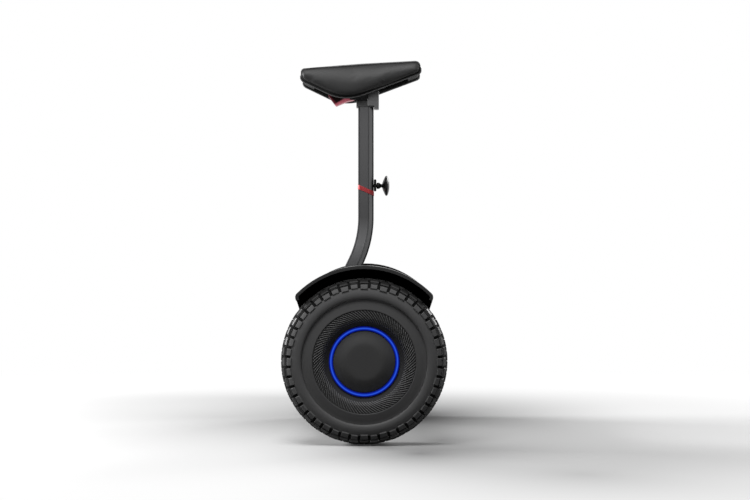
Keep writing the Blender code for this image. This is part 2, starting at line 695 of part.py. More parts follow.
def chassis_frame():
    """Cast tray with end walls for the axles and a pedestal under the steering."""
    width = CHASSIS_HALF_WIDTH
    frame = prism("chassis_frame", hull_outline(0, FRAME_TOP), "Y", -width, width, BARE_METAL)
    tray = prism("tray_cut", hull_outline(-FRAME_WALL, FRAME_TOP + 0.02), "Y",
                 FRAME_WALL - width, width - FRAME_WALL, BARE_METAL)
    combine(frame, tray, "DIFFERENCE")
    middle = hull_outline(-FRAME_WALL / 2, FRAME_TOP)
    rear = HOUSING_REAR
    foot = [middle[0], middle[1], middle[2], (rear, middle[2][1]), (rear, FRAME_TOP)]
    pedestal = prism("pedestal", foot, "Y", -PEDESTAL_HALF_WIDTH, PEDESTAL_HALF_WIDTH,
                     BARE_METAL)
    combine(frame, pedestal, "UNION")
    bore = rod("frame_bore", (0, 0, AXLE_Z), "Y", AXLE_RADIUS + SEAT_GAP,
               -width - 0.01, width + 0.01, BARE_METAL)
    combine(frame, bore, "DIFFERENCE")
    port = rod("frame_port_cut", (0, PORT_Y, PORT_Z), "X", PORT_RADIUS + SEAT_GAP,
               CHASSIS_HALF_LENGTH - FRAME_WALL * 2, CHASSIS_HALF_LENGTH + 0.01, BARE_METAL)
    combine(frame, port, "DIFFERENCE")
    return frame


def bottom_cover():
    """Plastic shell round the underside, with holes for the port and the button."""
    top = SKIRT_Z - SEAT_GAP
    outline = hull_outline(SEAT_GAP + COVER_WALL, top) + hull_outline(SEAT_GAP, top)[::-1]
    cover = prism("bottom_cover", outline, "Y", -CHASSIS_HALF_WIDTH, CHASSIS_HALF_WIDTH,
                  BLACK_PLASTIC)
    near = CHASSIS_HALF_LENGTH - 0.001
    far = COVER_X + 0.01
    port = rod("cover_port_cut", (0, PORT_Y, PORT_Z), "X", PORT_RADIUS + SEAT_GAP, near, far,
               BLACK_PLASTIC)
    button = rod("button_cut", (0, BUTTON_Y, PORT_Z), "X", BUTTON_RADIUS + SEAT_GAP, near, far,
                 BLACK_PLASTIC)
    combine(cover, port, "DIFFERENCE")
    return combine(cover, button, "DIFFERENCE")


def mat_outline(side, grow):
    """Rounded outline of one foot mat, seen from above."""
    inner = MAT_INNER_EDGE - grow
    outer = MAT_OUTER_EDGE + grow
    reach = MAT_HALF_LENGTH + grow
    corner = MAT_CORNER + grow
    return rounded([(-reach, side * inner, corner), (reach, side * inner, corner),
                    (reach, side * outer, corner), (-reach, side * outer, corner)])


def deck_cover():
    """Deck with its skirts, the wells of the mats, and the openings in its middle."""
    deck = block("deck_cover", (-SKIRT_X, -CHASSIS_HALF_WIDTH, SKIRT_Z),
                 (SKIRT_X, CHASSIS_HALF_WIDTH, DECK_TOP), BLACK_PLASTIC, DECK_CORNER, 2)
    under = block("deck_under", (-CHASSIS_HALF_LENGTH - SEAT_GAP, -CHASSIS_HALF_WIDTH - 0.01,
                                 SKIRT_Z - 0.01),
                  (CHASSIS_HALF_LENGTH + SEAT_GAP, CHASSIS_HALF_WIDTH + 0.01,
                   FRAME_TOP + SEAT_GAP), BLACK_PLASTIC)
    combine(deck, under, "DIFFERENCE")
    well = MAT_BOTTOM - MAT_TRAVEL - SEAT_GAP
    for side, label in ((-1, "left"), (1, "right")):
        cut = prism("well_" + label, mat_outline(side, SEAT_GAP), "Z", well, DECK_TOP + 0.01,
                    BLACK_PLASTIC)
        combine(deck, cut, "DIFFERENCE")
    slot = block("housing_slot", (HOUSING_FRONT - SEAT_GAP, -HOUSING_HALF_WIDTH - SEAT_GAP,
                                  FRAME_TOP - 0.01),
                 (HOUSING_REAR + SEAT_GAP, HOUSING_HALF_WIDTH + SEAT_GAP, DECK_TOP + 0.01),
                 BLACK_PLASTIC)
    combine(deck, slot, "DIFFERENCE")
    lens = block("lens_cut", (LENS_FRONT_X - SEAT_GAP, -LENS_HALF_WIDTH - SEAT_GAP,
                              DECK_TOP - LENS_DEPTH - SEAT_GAP),
                 (LENS_FRONT_X + LENS_LENGTH + SEAT_GAP, LENS_HALF_WIDTH + SEAT_GAP,
                  DECK_TOP + 0.01), BLACK_PLASTIC)
    return combine(deck, lens, "DIFFERENCE")


def foot_mat(label, side):
    """Rubber mat that rides a little above its switches."""
    outline = mat_outline(side, 0)
    shrunk = mat_outline(side, -0.0012)
    top = MAT_BOTTOM + MAT_THICKNESS
    loops = [[(x, y, MAT_BOTTOM) for x, y in outline],
             [(x, y, top - 0.0012) for x, y in outline],
             [(x, y, top) for x, y in shrunk]]
    return stacked("foot_mat_" + label, loops, RUBBER)


def inner_parts():
    """Battery and control board in the tray."""
    clamp_in = CHASSIS_HALF_WIDTH - FRAME_WALL - SEAT_GAP - CLAMP_WIDTH
    front = HOUSING_REAR + SEAT_GAP
    left = BATTERY_SPACE - clamp_in
    battery = block("battery_pack", (front, left, TRAY_FLOOR),
                    (front + BATTERY_LENGTH, left + BATTERY_WIDTH, TRAY_FLOOR + BATTERY_HEIGHT),
                    BATTERY_BLUE, 0.003)
    board_y = left + BATTERY_WIDTH + BOARD_SPACE
    board_end = clamp_in - BOARD_END_SPACE
    board_z = TRAY_FLOOR + BOARD_HEIGHT
    board = block("control_board", (front, board_y, board_z),
                  (front + BOARD_LENGTH, board_end, board_z + BOARD_THICKNESS),
                  CIRCUIT)
    sink = block("heat_sink", (front + HEAT_SINK_INSET, board_y + HEAT_SINK_INSET, TRAY_FLOOR),
                 (front + BOARD_LENGTH - HEAT_SINK_INSET, board_end - HEAT_SINK_INSET,
                  board_z + BOARD_THICKNESS / 2), BARE_METAL)
    combine(board, sink, "UNION")
    return [battery, board]


def fender_end(half_angle):
    """Tip of the fender's end, the centre of its rounded corner and the end's directions."""
    down = Vector((-math.sin(FENDER_END_LEAN), -math.cos(FENDER_END_LEAN)))
    inward = Vector((-math.cos(FENDER_END_LEAN), math.sin(FENDER_END_LEAN)))
    tip = Vector((math.sin(half_angle), math.cos(half_angle))) * FENDER_RADIUS
    offset = tip + inward * FENDER_TIP_RADIUS
    b = offset.dot(down)
    c = offset.length_squared - (FENDER_RADIUS - FENDER_TIP_RADIUS) ** 2
    centre = offset + down * (-b - math.sqrt(b * b - c))
    return tip, centre, down, inward


def fender_line(half_angle, depth):
    """Outline of the arch and its turned-down ends at a depth under its outside."""
    tip, centre, down, inward = fender_end(half_angle)
    span = math.atan2(centre.x, centre.y)
    radius = FENDER_TIP_RADIUS - depth
    last = math.atan2(-inward.x, -inward.y)
    turns = [span + (last - span) * k / FENDER_TIP_STEPS for k in range(1, FENDER_TIP_STEPS + 1)]
    rear = [centre + Vector((math.sin(t), math.cos(t))) * radius for t in turns]
    rear.append(tip + down * FENDER_HEM + inward * depth)
    arch = [Vector((math.sin(t), math.cos(t))) * (FENDER_RADIUS - depth)
            for t in (span * (2 * i / ARC_STEPS - 1) for i in range(ARC_STEPS + 1))]
    front = [Vector((-point.x, point.y)) for point in reversed(rear)]
    return [(point.x, AXLE_Z + point.y) for point in front + arch + rear]


def fender(label, side):
    """Arch over the wheel: rolled ends, a lip at its outer edge and a wall at its inner one."""
    wall_angle = FENDER_HALF_ANGLE + FENDER_FLARE
    down = fender_end(wall_angle)[2]
    rim = fender_line(wall_angle, 0.0)
    start = Vector(rim[-1])
    deck_end = start + down * ((start.y - DECK_TOP) / -down.y)
    foot_x = deck_end.x - FENDER_FOOT_SETBACK
    across = len(rim) - 2 * FENDER_EDGE_STEPS - 1
    rear_edge = [tuple(start.lerp(deck_end, i / FENDER_EDGE_STEPS))
                 for i in range(1, FENDER_EDGE_STEPS + 1)]
    foot_run = [(foot_x * (1 - 2 * i / across), FENDER_FOOT_Z) for i in range(across + 1)]
    front_edge = [(-x, z) for x, z in rear_edge[::-1]]
    wall = rim + rear_edge + foot_run + front_edge
    wide_skin = rim + fender_line(wall_angle, FENDER_SKIN)[::-1]
    skin = (fender_line(FENDER_HALF_ANGLE, 0.0)
            + fender_line(FENDER_HALF_ANGLE, FENDER_SKIN)[::-1])
    lip = (fender_line(FENDER_HALF_ANGLE, 0.0)
           + fender_line(FENDER_HALF_ANGLE, FENDER_LIP_HEIGHT)[::-1])
    outer_y = WHEEL_Y + TYRE_HALF_WIDTH - FENDER_SHORT_OF_TYRE
    wall_y = FENDER_INNER_Y + FENDER_WALL
    lip_y = outer_y - FENDER_LIP_WIDTH
    plan = [(wall, FENDER_INNER_Y), (wall, wall_y), (wide_skin, wall_y), (skin, lip_y),
            (lip, lip_y), (lip, outer_y)]
    loops = [[(x, side * y, z) for x, z in outline] for outline, y in plan]
    shell = stacked("fender_" + label, loops, GLOSS_BLACK)
    bore = rod("fender_bore_" + label, (0, 0, AXLE_Z), "Y", AXLE_RADIUS + SEAT_GAP,
               *sorted((side * (FENDER_INNER_Y - 0.01), side * (wall_y + 0.01))), GLOSS_BLACK)
    return combine(shell, bore, "DIFFERENCE")


# Top of the bar and the knee rest over it
RING_LOW = -RING_THICKNESS / 2
RING_HIGH = RING_THICKNESS / 2
TUBE_INSET = BAR_WALL + SEAT_GAP
COLLAR_BASE = BAR_TOP + SEAT_GAP
COLLAR_PLATE = COLLAR_BASE + COLLAR_PLATE_THICKNESS
COLLAR_TOP = COLLAR_BASE + COLLAR_HEIGHT
COLLAR_FRONT_X = BAR_X - COLLAR_FRONT
COLLAR_REAR_X = BAR_X + COLLAR_REAR
POST_FRONT_X = COLLAR_FRONT_X + SOCKET_FRONT_WALL + SEAT_GAP
POST_REAR_X = COLLAR_REAR_X - SOCKET_REAR_WALL
POST_TOP = COLLAR_TOP + POST_HEIGHT
BLOCK_BOTTOM = COLLAR_PLATE + SEAT_GAP
BLOCK_TOP = BLOCK_BOTTOM + BLOCK_HEIGHT
BLOCK_FRONT_X = COLLAR_REAR_X + SEAT_GAP
BLOCK_REAR_X = BLOCK_FRONT_X + BLOCK_LENGTH
WING_FRONT_TOP = COLLAR_TOP + WING_FRONT_RISE
WING_REAR_TOP = COLLAR_TOP + WING_REAR_RISE
WING_KEEL_Z = COLLAR_TOP - WING_KEEL_DROP
LEVER_PIN_X = COLLAR_FRONT_X - LEVER_PIN_FORWARD
LEVER_PIN_Z = COLLAR_TOP + LEVER_PIN_RISE
PLATE_OUT_X = BAR_REAR + SEAT_GAP + CLAMP_PLATE_THICKNESS


def bar_section(inset):
    """Cross-section of the bar as (rearward, sideways): small front and large rear chamfers."""
    depth = BAR_DEPTH / 2 - inset
    width = BAR_WIDTH / 2 - inset
    shrink = inset * (2 - math.sqrt(2))
    front = max(BAR_FRONT_CHAMFER - shrink, SEAT_GAP)
    rear = max(BAR_REAR_CHAMFER - shrink, SEAT_GAP)
    return [(-depth, front - width), (-depth, width - front), (front - depth, width),
            (depth - rear, width), (depth, width - rear), (depth, rear - width),
            (depth - rear, -width), (front - depth, -width)]


def upright_loop(inset, height, slope=0.0):
    """The section on the upright part of the bar, level or along the red ring's slant."""
    return [(BAR_X + d, w, height + slope * d) for d, w in bar_section(inset)]


def bent_loop(inset, angle, run=0.0):
    """The section in the bend, or a run past it towards the pivot."""
    x = BAR_X - BEND_RADIUS * (1 - math.cos(angle)) - run * math.sin(angle)
    z = BEND_TOP - BEND_RADIUS * math.sin(angle) - run * math.cos(angle)
    return [(x + d * math.cos(angle), w, z - d * math.sin(angle))
            for d, w in bar_section(inset)]


def lower_bar():
    """Curved tube from the steering hub up to the red ring."""
    straight = (BEND_END_Z - PIVOT_Z) / math.cos(BEND_ANGLE) - BAR_FOOT

    def loops(inset):
        """Loops down the whole tube at one inset."""
        run = [upright_loop(inset, RING_HEIGHT_Z + RING_LOW - SEAT_GAP, RING_SLOPE)]
        run += [bent_loop(inset, BEND_ANGLE * i / BEND_STEPS) for i in range(BEND_STEPS + 1)]
        return run + [bent_loop(inset, BEND_ANGLE, straight)]

    return hollow("lower_bar", loops(0), loops(BAR_WALL), GREY_PAINT)


def steering_hub():
    """Turning hub on the pivot pin, with a plate and a spigot for the bar."""
    bore = PIVOT_PIN_RADIUS + BUSH_WALL + 2 * SEAT_GAP
    half = PIVOT_HUB_HALF_LENGTH
    hub = rod("steering_hub", (0, 0, PIVOT_Z), "X", PIVOT_HUB_RADIUS, PIVOT_X - half,
              PIVOT_X + half, BARE_METAL, SMALL_STEPS)
    to_pivot = (BEND_END_Z - PIVOT_Z) / math.cos(BEND_ANGLE)
    plate_top = to_pivot - BAR_FOOT + SEAT_GAP
    plate_end = to_pivot - (PIVOT_HUB_RADIUS - 0.003)
    inset = BAR_WALL + SEAT_GAP
    loops = [bent_loop(inset, BEND_ANGLE, plate_top - SPIGOT_LENGTH),
             bent_loop(inset, BEND_ANGLE, plate_top),
             bent_loop(0, BEND_ANGLE, plate_top),
             bent_loop(0, BEND_ANGLE, plate_top + SPIGOT_PLATE),
             bent_loop(HUB_NECK_INSET, BEND_ANGLE, plate_top + SPIGOT_PLATE),
             bent_loop(HUB_NECK_INSET, BEND_ANGLE, plate_end)]
    combine(hub, stacked("hub_spigot", loops, BARE_METAL), "UNION")
    through = rod("hub_bore", (0, 0, PIVOT_Z), "X", bore, PIVOT_X - half - 0.01,
                  PIVOT_X + half + 0.01, BARE_METAL, SMALL_STEPS)
    return combine(hub, through, "DIFFERENCE")


def steering_housing():
    """Fixed block with two ears that carry the pivot pin."""
    base_z = FRAME_TOP + SEAT_GAP
    ear_foot = base_z + HOUSING_BASE
    housing = block("steering_housing", (HOUSING_FRONT, -HOUSING_HALF_WIDTH, base_z),
                    (HOUSING_REAR, HOUSING_HALF_WIDTH, ear_foot), BARE_METAL, 0.001)
    arch = [(EAR_HALF_WIDTH * math.cos(math.pi * i / 8),
             PIVOT_Z + EAR_HALF_WIDTH * math.sin(math.pi * i / 8)) for i in range(9)]
    foot = EAR_HALF_WIDTH * 1.5
    outline = arch + [(-foot, ear_foot - 0.001), (foot, ear_foot - 0.001)]
    near = PIVOT_HUB_HALF_LENGTH + SEAT_GAP
    for label, low, high in (("front", -EAR_REACH, -near), ("rear", near, EAR_REACH)):
        ear = prism("ear_" + label, outline, "X", PIVOT_X + low, PIVOT_X + high, BARE_METAL)
        combine(housing, ear, "UNION")
    bore = rod("ear_bore", (0, 0, PIVOT_Z), "X", PIVOT_PIN_RADIUS + SEAT_GAP,
               PIVOT_X - EAR_REACH - 0.01, PIVOT_X + EAR_REACH + 0.01, BARE_METAL)
    return combine(housing, bore, "DIFFERENCE")


def steering_pivot():
    """Pivot pin and the rubber bush on it that centres the bar."""
    reach = EAR_REACH + PIN_OVERHANG
    pin = rod("steering_pin", (0, 0, PIVOT_Z), "X", PIVOT_PIN_RADIUS, PIVOT_X - reach,
              PIVOT_X + reach, STEEL)
    inner = PIVOT_PIN_RADIUS + SEAT_GAP
    half = PIVOT_HUB_HALF_LENGTH
    ring = [(-half, inner), (-half, inner + BUSH_WALL), (half, inner + BUSH_WALL), (half, inner)]
    bush = turned("centring_bush", ring, (PIVOT_X, 0, PIVOT_Z), "X", RUBBER, SMALL_STEPS)
    return [pin, bush]


def steering_tower():
    """Tapered cover round the foot of the bar, open at its top for the bar's swing."""
    foot_z = DECK_TOP + SEAT_GAP
    top_z = foot_z + TOWER_HEIGHT
    bar_x = PIVOT_X + (top_z - PIVOT_Z) * math.tan(BEND_ANGLE)
    bar_rear = bar_x + BAR_DEPTH / 2 / math.cos(BEND_ANGLE)
    front = PIVOT_X - EAR_REACH - TOWER_MARGIN / 2
    rear = max(PIVOT_X + EAR_REACH, bar_rear) + TOWER_MARGIN / 2

    def loop(spread, half_width, inset, height):
        """Rounded rectangle at one height."""
        x0, x1 = front - TOWER_WALL - spread + inset, rear + TOWER_WALL + spread - inset
        y = half_width - inset
        corners = [(x0, -y, TOWER_CORNER), (x1, -y, TOWER_CORNER), (x1, y, TOWER_CORNER),
                   (x0, y, TOWER_CORNER)]
        return [(a, b, height) for a, b in rounded(corners)]

    foot_spread = TOWER_MARGIN / 2
    outer = [loop(foot_spread, TOWER_FOOT_HALF_WIDTH, 0, foot_z),
             loop(foot_spread * 0.3, (TOWER_FOOT_HALF_WIDTH + TOWER_TOP_HALF_WIDTH) / 2, 0,
                  foot_z + TOWER_HEIGHT * 0.4),
             loop(0, TOWER_TOP_HALF_WIDTH, 0, top_z)]
    inner = [loop(foot_spread, TOWER_FOOT_HALF_WIDTH, TOWER_WALL, foot_z),
             loop(foot_spread * 0.3, (TOWER_FOOT_HALF_WIDTH + TOWER_TOP_HALF_WIDTH) / 2,
                  TOWER_WALL, foot_z + TOWER_HEIGHT * 0.4),
             loop(0, TOWER_TOP_HALF_WIDTH, TOWER_WALL, top_z)]
    return hollow("steering_cover", outer, inner, BLACK_PLASTIC)


def inner_tube():
    """Hidden tube, fixed in the lower bar, that the sleeve slides on."""
    heights = (RING_HEIGHT_Z - TUBE_BELOW, BAR_TOP - PLUG_LENGTH - 4 * SEAT_GAP)
    return hollow("inner_tube", [upright_loop(TUBE_INSET, z) for z in heights],
                  [upright_loop(TUBE_INSET + TUBE_WALL, z) for z in heights], BARE_METAL)


def bar_ring():
    """Red ring on the slant where the sleeve rests on the lower bar."""
    heights = (RING_HEIGHT_Z + RING_LOW, RING_HEIGHT_Z + RING_HIGH)
    return hollow("bar_ring", [upright_loop(-RING_PROUD, z, RING_SLOPE) for z in heights],
                  [upright_loop(BAR_WALL, z, RING_SLOPE) for z in heights], RED)


def upper_sleeve():
    """Outer tube that slides up for a taller rider."""
    foot = RING_HEIGHT_Z + RING_HIGH + SEAT_GAP

    def loops(inset):
        """Slanted foot and level top at one inset."""
        return [upright_loop(inset, foot, RING_SLOPE), upright_loop(inset, BAR_TOP)]

    sleeve = hollow("upper_sleeve", loops(0), loops(BAR_WALL), GREY_PAINT)
    bore = rod("sleeve_bore", (0, 0, CLAMP_Z), "X", SCREW_RADIUS + SEAT_GAP, BAR_X,
               BAR_REAR + 0.01, GREY_PAINT, 12)
    return combine(sleeve, bore, "DIFFERENCE")


def bar_top():
    """Insert in the top of the sleeve: plug, collar and the post for the knee rest."""
    def rectangle(x0, x1, y, z):
        """Chamfered rectangle with as many points as the bar's section."""
        c = 0.0012
        return [(x0, c - y, z), (x0, y - c, z), (x0 + c, y, z), (x1 - c, y, z),
                (x1, y - c, z), (x1, c - y, z), (x1 - c, -y, z), (x0 + c, -y, z)]

    width = COLLAR_HALF_WIDTH
    loops = [upright_loop(TUBE_INSET, BAR_TOP - PLUG_LENGTH),
             upright_loop(TUBE_INSET, COLLAR_BASE),
             rectangle(COLLAR_FRONT_X, BAR_REAR, width, COLLAR_BASE),
             rectangle(COLLAR_FRONT_X, BAR_REAR, width, COLLAR_PLATE),
             rectangle(COLLAR_FRONT_X, COLLAR_REAR_X, width, COLLAR_PLATE),
             rectangle(COLLAR_FRONT_X, COLLAR_REAR_X, width, COLLAR_TOP),
             rectangle(POST_FRONT_X, POST_REAR_X, POST_HALF_WIDTH, COLLAR_TOP),
             rectangle(POST_FRONT_X, POST_REAR_X, POST_HALF_WIDTH, POST_TOP)]
    return stacked("bar_top", loops, BLACK_PLASTIC)


def clamp_plate():
    """Threaded plate on the rear of the sleeve."""
    near = BAR_REAR + SEAT_GAP
    low = RING_HEIGHT_Z + RING_SLOPE * BAR_DEPTH / 2 + RING_HIGH + SEAT_GAP
    plate = block("clamp_plate", (near, -CLAMP_PLATE_HALF_WIDTH, low),
                  (PLATE_OUT_X, CLAMP_PLATE_HALF_WIDTH, CLAMP_Z + CLAMP_PLATE_RISE),
                  BLACK_PLASTIC, 0.0012)
    bore = rod("plate_bore", (0, 0, CLAMP_Z), "X", SCREW_RADIUS + SEAT_GAP, near - 0.01,
               PLATE_OUT_X + 0.01, BLACK_PLASTIC, 12)
    return combine(plate, bore, "DIFFERENCE")


def clamp_knob():
    """Knob with its screw, a round neck and a flared head."""
    tip = BAR_REAR - TUBE_INSET + SEAT_GAP
    root = PLATE_OUT_X + SEAT_GAP
    shares = [(0.00, NECK_RADIUS * 0.75), (0.06, NECK_RADIUS), (0.20, NECK_RADIUS * 0.86),
              (0.27, NECK_RADIUS * 0.50), (0.34, NECK_RADIUS * 0.55), (0.50, KNOB_RADIUS * 0.46),
              (0.72, KNOB_RADIUS), (0.93, KNOB_RADIUS * 0.99), (1.00, KNOB_RADIUS * 0.88),
              (1.00, 0.0)]
    head = [(root + share * KNOB_LENGTH, radius) for share, radius in shares]
    profile = [(tip, 0.0), (tip, SCREW_RADIUS), (root, SCREW_RADIUS)] + head
    return turned("clamp_knob", profile, (0, 0, CLAMP_Z), "X", GLOSS_BLACK, INNER_STEPS)


def wing_outline(inset=0.0, drop=0.0):
    """Side outline of the knee rest: thin ends, deep keel under the bar, rising to the rear."""
    front = WING_FRONT_X + inset
    rear = WING_REAR_X - inset
    front_top = WING_FRONT_TOP - drop
    rear_top = WING_REAR_TOP - drop
    corners = [(front, WING_FRONT_TOP - WING_FRONT_HEIGHT + inset,
                min(WING_NOSE_RADIUS, (WING_FRONT_HEIGHT - drop) / 2)),
               (WING_KEEL_X, WING_KEEL_Z + inset, WING_KEEL_RADIUS),
               (rear, WING_REAR_TOP - WING_REAR_HEIGHT + inset, WING_TAIL_RADIUS),
               (rear, rear_top, min(WING_REAR_RADIUS, (WING_REAR_HEIGHT - drop) / 2.2)),
               (front, front_top, min(WING_FRONT_RADIUS, (WING_FRONT_HEIGHT - drop) / 3))]
    return rounded(corners)


def split_long(outline, most):
    """Add points to an outline's long edges, so that it can crown."""
    result = []
    for i, (a, b) in enumerate(outline):
        c, d = outline[(i + 1) % len(outline)]
        count = max(1, math.ceil(math.hypot(c - a, d - b) / most))
        result += [(a + (c - a) * k / count, b + (d - b) * k / count) for k in range(count)]
    return result


def nearest_on(line, point):
    """Nearest point of a broken line to a point."""
    best = None
    for start, end in zip(line, line[1:]):
        span = end - start
        share = max(0.0, min(1.0, (point - start).dot(span) / span.length_squared))
        spot = start + span * share
        if best is None or (spot - point).length < (best - point).length:
            best = spot
    return best


def knee_pad(label, side):
    """Cushion with a crown and drawn-in sides over the outline of a wing."""
    outline = [Vector(point) for point in split_long(wing_outline(), 0.022)]
    spine = [Vector((WING_FRONT_X + PAD_SPINE_INSET, WING_FRONT_TOP - WING_FRONT_HEIGHT / 2)),
             Vector((WING_KEEL_X, (WING_KEEL_Z + WING_FRONT_TOP) / 2)),
             Vector((WING_REAR_X - PAD_SPINE_INSET, WING_REAR_TOP - WING_REAR_HEIGHT / 2))]
    crown = [(0.0, 0.16), (0.14, 0.03), (0.36, 0.0), (0.60, 0.08), (0.79, 0.25), (0.92, 0.48),
             (1.0, 0.76)]
    inner = WING_INNER + SEAT_GAP
    loops = []
    for share, draw in crown:
        y = side * (inner + share * PAD_THICKNESS)
        loop = []
        for point in outline:
            spot = point.lerp(nearest_on(spine, point), draw)
            loop.append((spot.x, y, spot.y))
        loops.append(loop)
    return stacked("knee_pad_" + label, loops, LEATHER)


def shell_top(x):
    """Height of the knee shell's top at one place."""
    slope = (WING_REAR_TOP - WING_FRONT_TOP) / (WING_REAR_X - WING_FRONT_X)
    return WING_FRONT_TOP + slope * (x - WING_FRONT_X) - SHELL_DROP


def knee_shell():
    """Saddle shell between the wings, open underneath round the socket and the lever."""
    shell = prism("knee_shell", wing_outline(SHELL_INSET, SHELL_DROP), "Y", -WING_INNER,
                  WING_INNER, BLACK_PLASTIC)
    front = WING_FRONT_X + SHELL_END_WALL
    rear = WING_REAR_X - SHELL_END_WALL
    low = WING_KEEL_Z - SHELL_END_WALL
    hollow_outline = [(front, low), (rear, low), (rear, shell_top(rear) - SHELL_WALL),
                      (front, shell_top(front) - SHELL_WALL)]
    inside = WING_INNER - SHELL_WALL
    cut = prism("shell_hollow", hollow_outline, "Y", -inside, inside, BLACK_PLASTIC)
    return combine(shell, cut, "DIFFERENCE")


def rest_socket():
    """Socket under the shell that slips over the post, with ears for the lever's pin."""
    low = COLLAR_TOP + SEAT_GAP
    step = BLOCK_TOP + SEAT_GAP
    tops = [(x, shell_top(x) - SHELL_WALL - SEAT_GAP) for x in (BLOCK_REAR_X, COLLAR_FRONT_X)]
    outline = [(COLLAR_FRONT_X, low), (COLLAR_REAR_X, low), (COLLAR_REAR_X, step),
               (BLOCK_REAR_X, step)] + tops
    socket = prism("rest_socket", outline, "Y", -SOCKET_HALF_WIDTH, SOCKET_HALF_WIDTH,
                   BLACK_PLASTIC)
    pocket = block("post_pocket", (POST_FRONT_X - SEAT_GAP, -POST_HALF_WIDTH - SEAT_GAP,
                                   low - 0.01),
                   (POST_REAR_X + SEAT_GAP, POST_HALF_WIDTH + SEAT_GAP, POST_TOP + SEAT_GAP),
                   BLACK_PLASTIC)
    combine(socket, pocket, "DIFFERENCE")
    near = LEVER_HALF_WIDTH + 2 * SEAT_GAP
    reach = LEVER_HUB_RADIUS + LEVER_EAR_MARGIN
    outline = rounded([(LEVER_PIN_X - reach, LEVER_PIN_Z - reach, 0.003),
                       (COLLAR_FRONT_X + 0.001, LEVER_PIN_Z - reach, 0),
                       (COLLAR_FRONT_X + 0.001, LEVER_PIN_Z + reach, 0),
                       (LEVER_PIN_X - reach, LEVER_PIN_Z + reach, 0.003)], 3)
    for side in (-1, 1):
        ear = prism("lever_ear", outline, "Y",
                    *sorted((side * near, side * (near + LEVER_EAR_WIDTH))), BLACK_PLASTIC)
        combine(socket, ear, "UNION")
    bore = rod("lever_ear_bore", (LEVER_PIN_X, 0, LEVER_PIN_Z), "Y", LEVER_PIN_RADIUS + SEAT_GAP,
               -SOCKET_HALF_WIDTH - 0.01, SOCKET_HALF_WIDTH + 0.01, BLACK_PLASTIC, 12)
    return combine(socket, bore, "DIFFERENCE")


def latch_block():
    """Block behind the collar, hooked over the rear of the bar's top."""
    hook_x = BAR_REAR + 2 * SEAT_GAP
    outline = [(BLOCK_FRONT_X, BLOCK_BOTTOM), (hook_x, BLOCK_BOTTOM),
               (hook_x, BLOCK_BOTTOM - BLOCK_HOOK), (BLOCK_REAR_X, BLOCK_BOTTOM - BLOCK_HOOK),
               (BLOCK_REAR_X, BLOCK_TOP), (BLOCK_FRONT_X, BLOCK_TOP)]
    return prism("latch_block", outline, "Y", -BLOCK_HALF_WIDTH, BLOCK_HALF_WIDTH, DARK_PAINT)


def release_lever():
    """Red paddle under the front of the knee rest, on its pin."""
    x, z = LEVER_PIN_X, LEVER_PIN_Z
    hub = LEVER_HUB_RADIUS
    corners = [(x + hub, z - hub, hub * 0.95), (x + hub, z + hub, hub * 0.95)]
    corners += [(x + a, z + b, corner) for a, b, corner in LEVER_TIP]
    lever = prism("release_lever", rounded(corners, 3), "Y", -LEVER_HALF_WIDTH,
                  LEVER_HALF_WIDTH, RED)
    bore = rod("lever_bore", (x, 0, z), "Y", LEVER_PIN_RADIUS + SEAT_GAP,
               -LEVER_HALF_WIDTH - 0.01, LEVER_HALF_WIDTH + 0.01, RED, 12)
    combine(lever, bore, "DIFFERENCE")
    reach = LEVER_HALF_WIDTH + 2 * SEAT_GAP + LEVER_EAR_WIDTH
    pin = rod("lever_pin", (x, 0, z), "Y", LEVER_PIN_RADIUS, -reach, reach, STEEL, 12)
    return lever, pin


def lights():
    """Front and rear light bars on the deck's skirts, and the lens in the deck."""
    low = SKIRT_Z + (SKIRT_DROP - LIGHT_BAR_HEIGHT) / 2
    near = SKIRT_X + SEAT_GAP
    far = near + LIGHT_BAR_DEPTH
    front = block("front_light", (-far, -LIGHT_BAR_HALF_WIDTH, low),
                  (-near, LIGHT_BAR_HALF_WIDTH, low + LIGHT_BAR_HEIGHT), CLEAR_LENS, 0.001)
    rear = block("tail_light", (near, -TAIL_HALF_WIDTH, low),
                 (far, TAIL_HALF_WIDTH, low + LIGHT_BAR_HEIGHT), TAIL_RED, 0.001)
    lens = block("display_lens", (LENS_FRONT_X, -LENS_HALF_WIDTH, DECK_TOP - LENS_DEPTH),
                 (LENS_FRONT_X + LENS_LENGTH, LENS_HALF_WIDTH, DECK_TOP), GLOSS_BLACK, 0.0004)
    return [front, rear, lens]


def charge_socket():
    """Round socket in the rear wall, open to the rear."""
    out = COVER_X - PORT_SET_BACK
    back = out - PORT_LENGTH
    profile = [(back, 0.0), (back, PORT_RADIUS), (out, PORT_RADIUS), (out, PORT_BORE),
               (back + PORT_FLOOR, PORT_BORE), (back + PORT_FLOOR, 0.0)]
    return turned("charge_socket", profile, (0, PORT_Y, PORT_Z), "X", BLACK_PLASTIC, SMALL_STEPS)


def charge_flap():
    """Rubber flap over the socket, hinged along its upper edge."""
    near = COVER_X + SEAT_GAP
    radius = FLAP_THICKNESS / 2
    top = SKIRT_Z - SEAT_GAP - radius
    arc = [(near + radius + radius * math.cos(math.pi * i / 6),
            top + radius * math.sin(math.pi * i / 6)) for i in range(7)]
    low = PORT_Z - PORT_RADIUS - FLAP_OVERLAP
    outline = [(near, low), (near + FLAP_THICKNESS, low)] + arc
    return prism("charge_flap", outline, "Y", PORT_Y - FLAP_HALF_WIDTH,
                 PORT_Y + FLAP_HALF_WIDTH, RUBBER), (near + radius, PORT_Y, top)


def power_button():
    """Round push button beside the port."""
    near = CHASSIS_HALF_LENGTH + 2 * SEAT_GAP + BUTTON_TRAVEL
    return rod("power_button", (0, BUTTON_Y, PORT_Z), "X", BUTTON_RADIUS, near,
               near + BUTTON_LENGTH, GLOSS_BLACK, SMALL_STEPS)


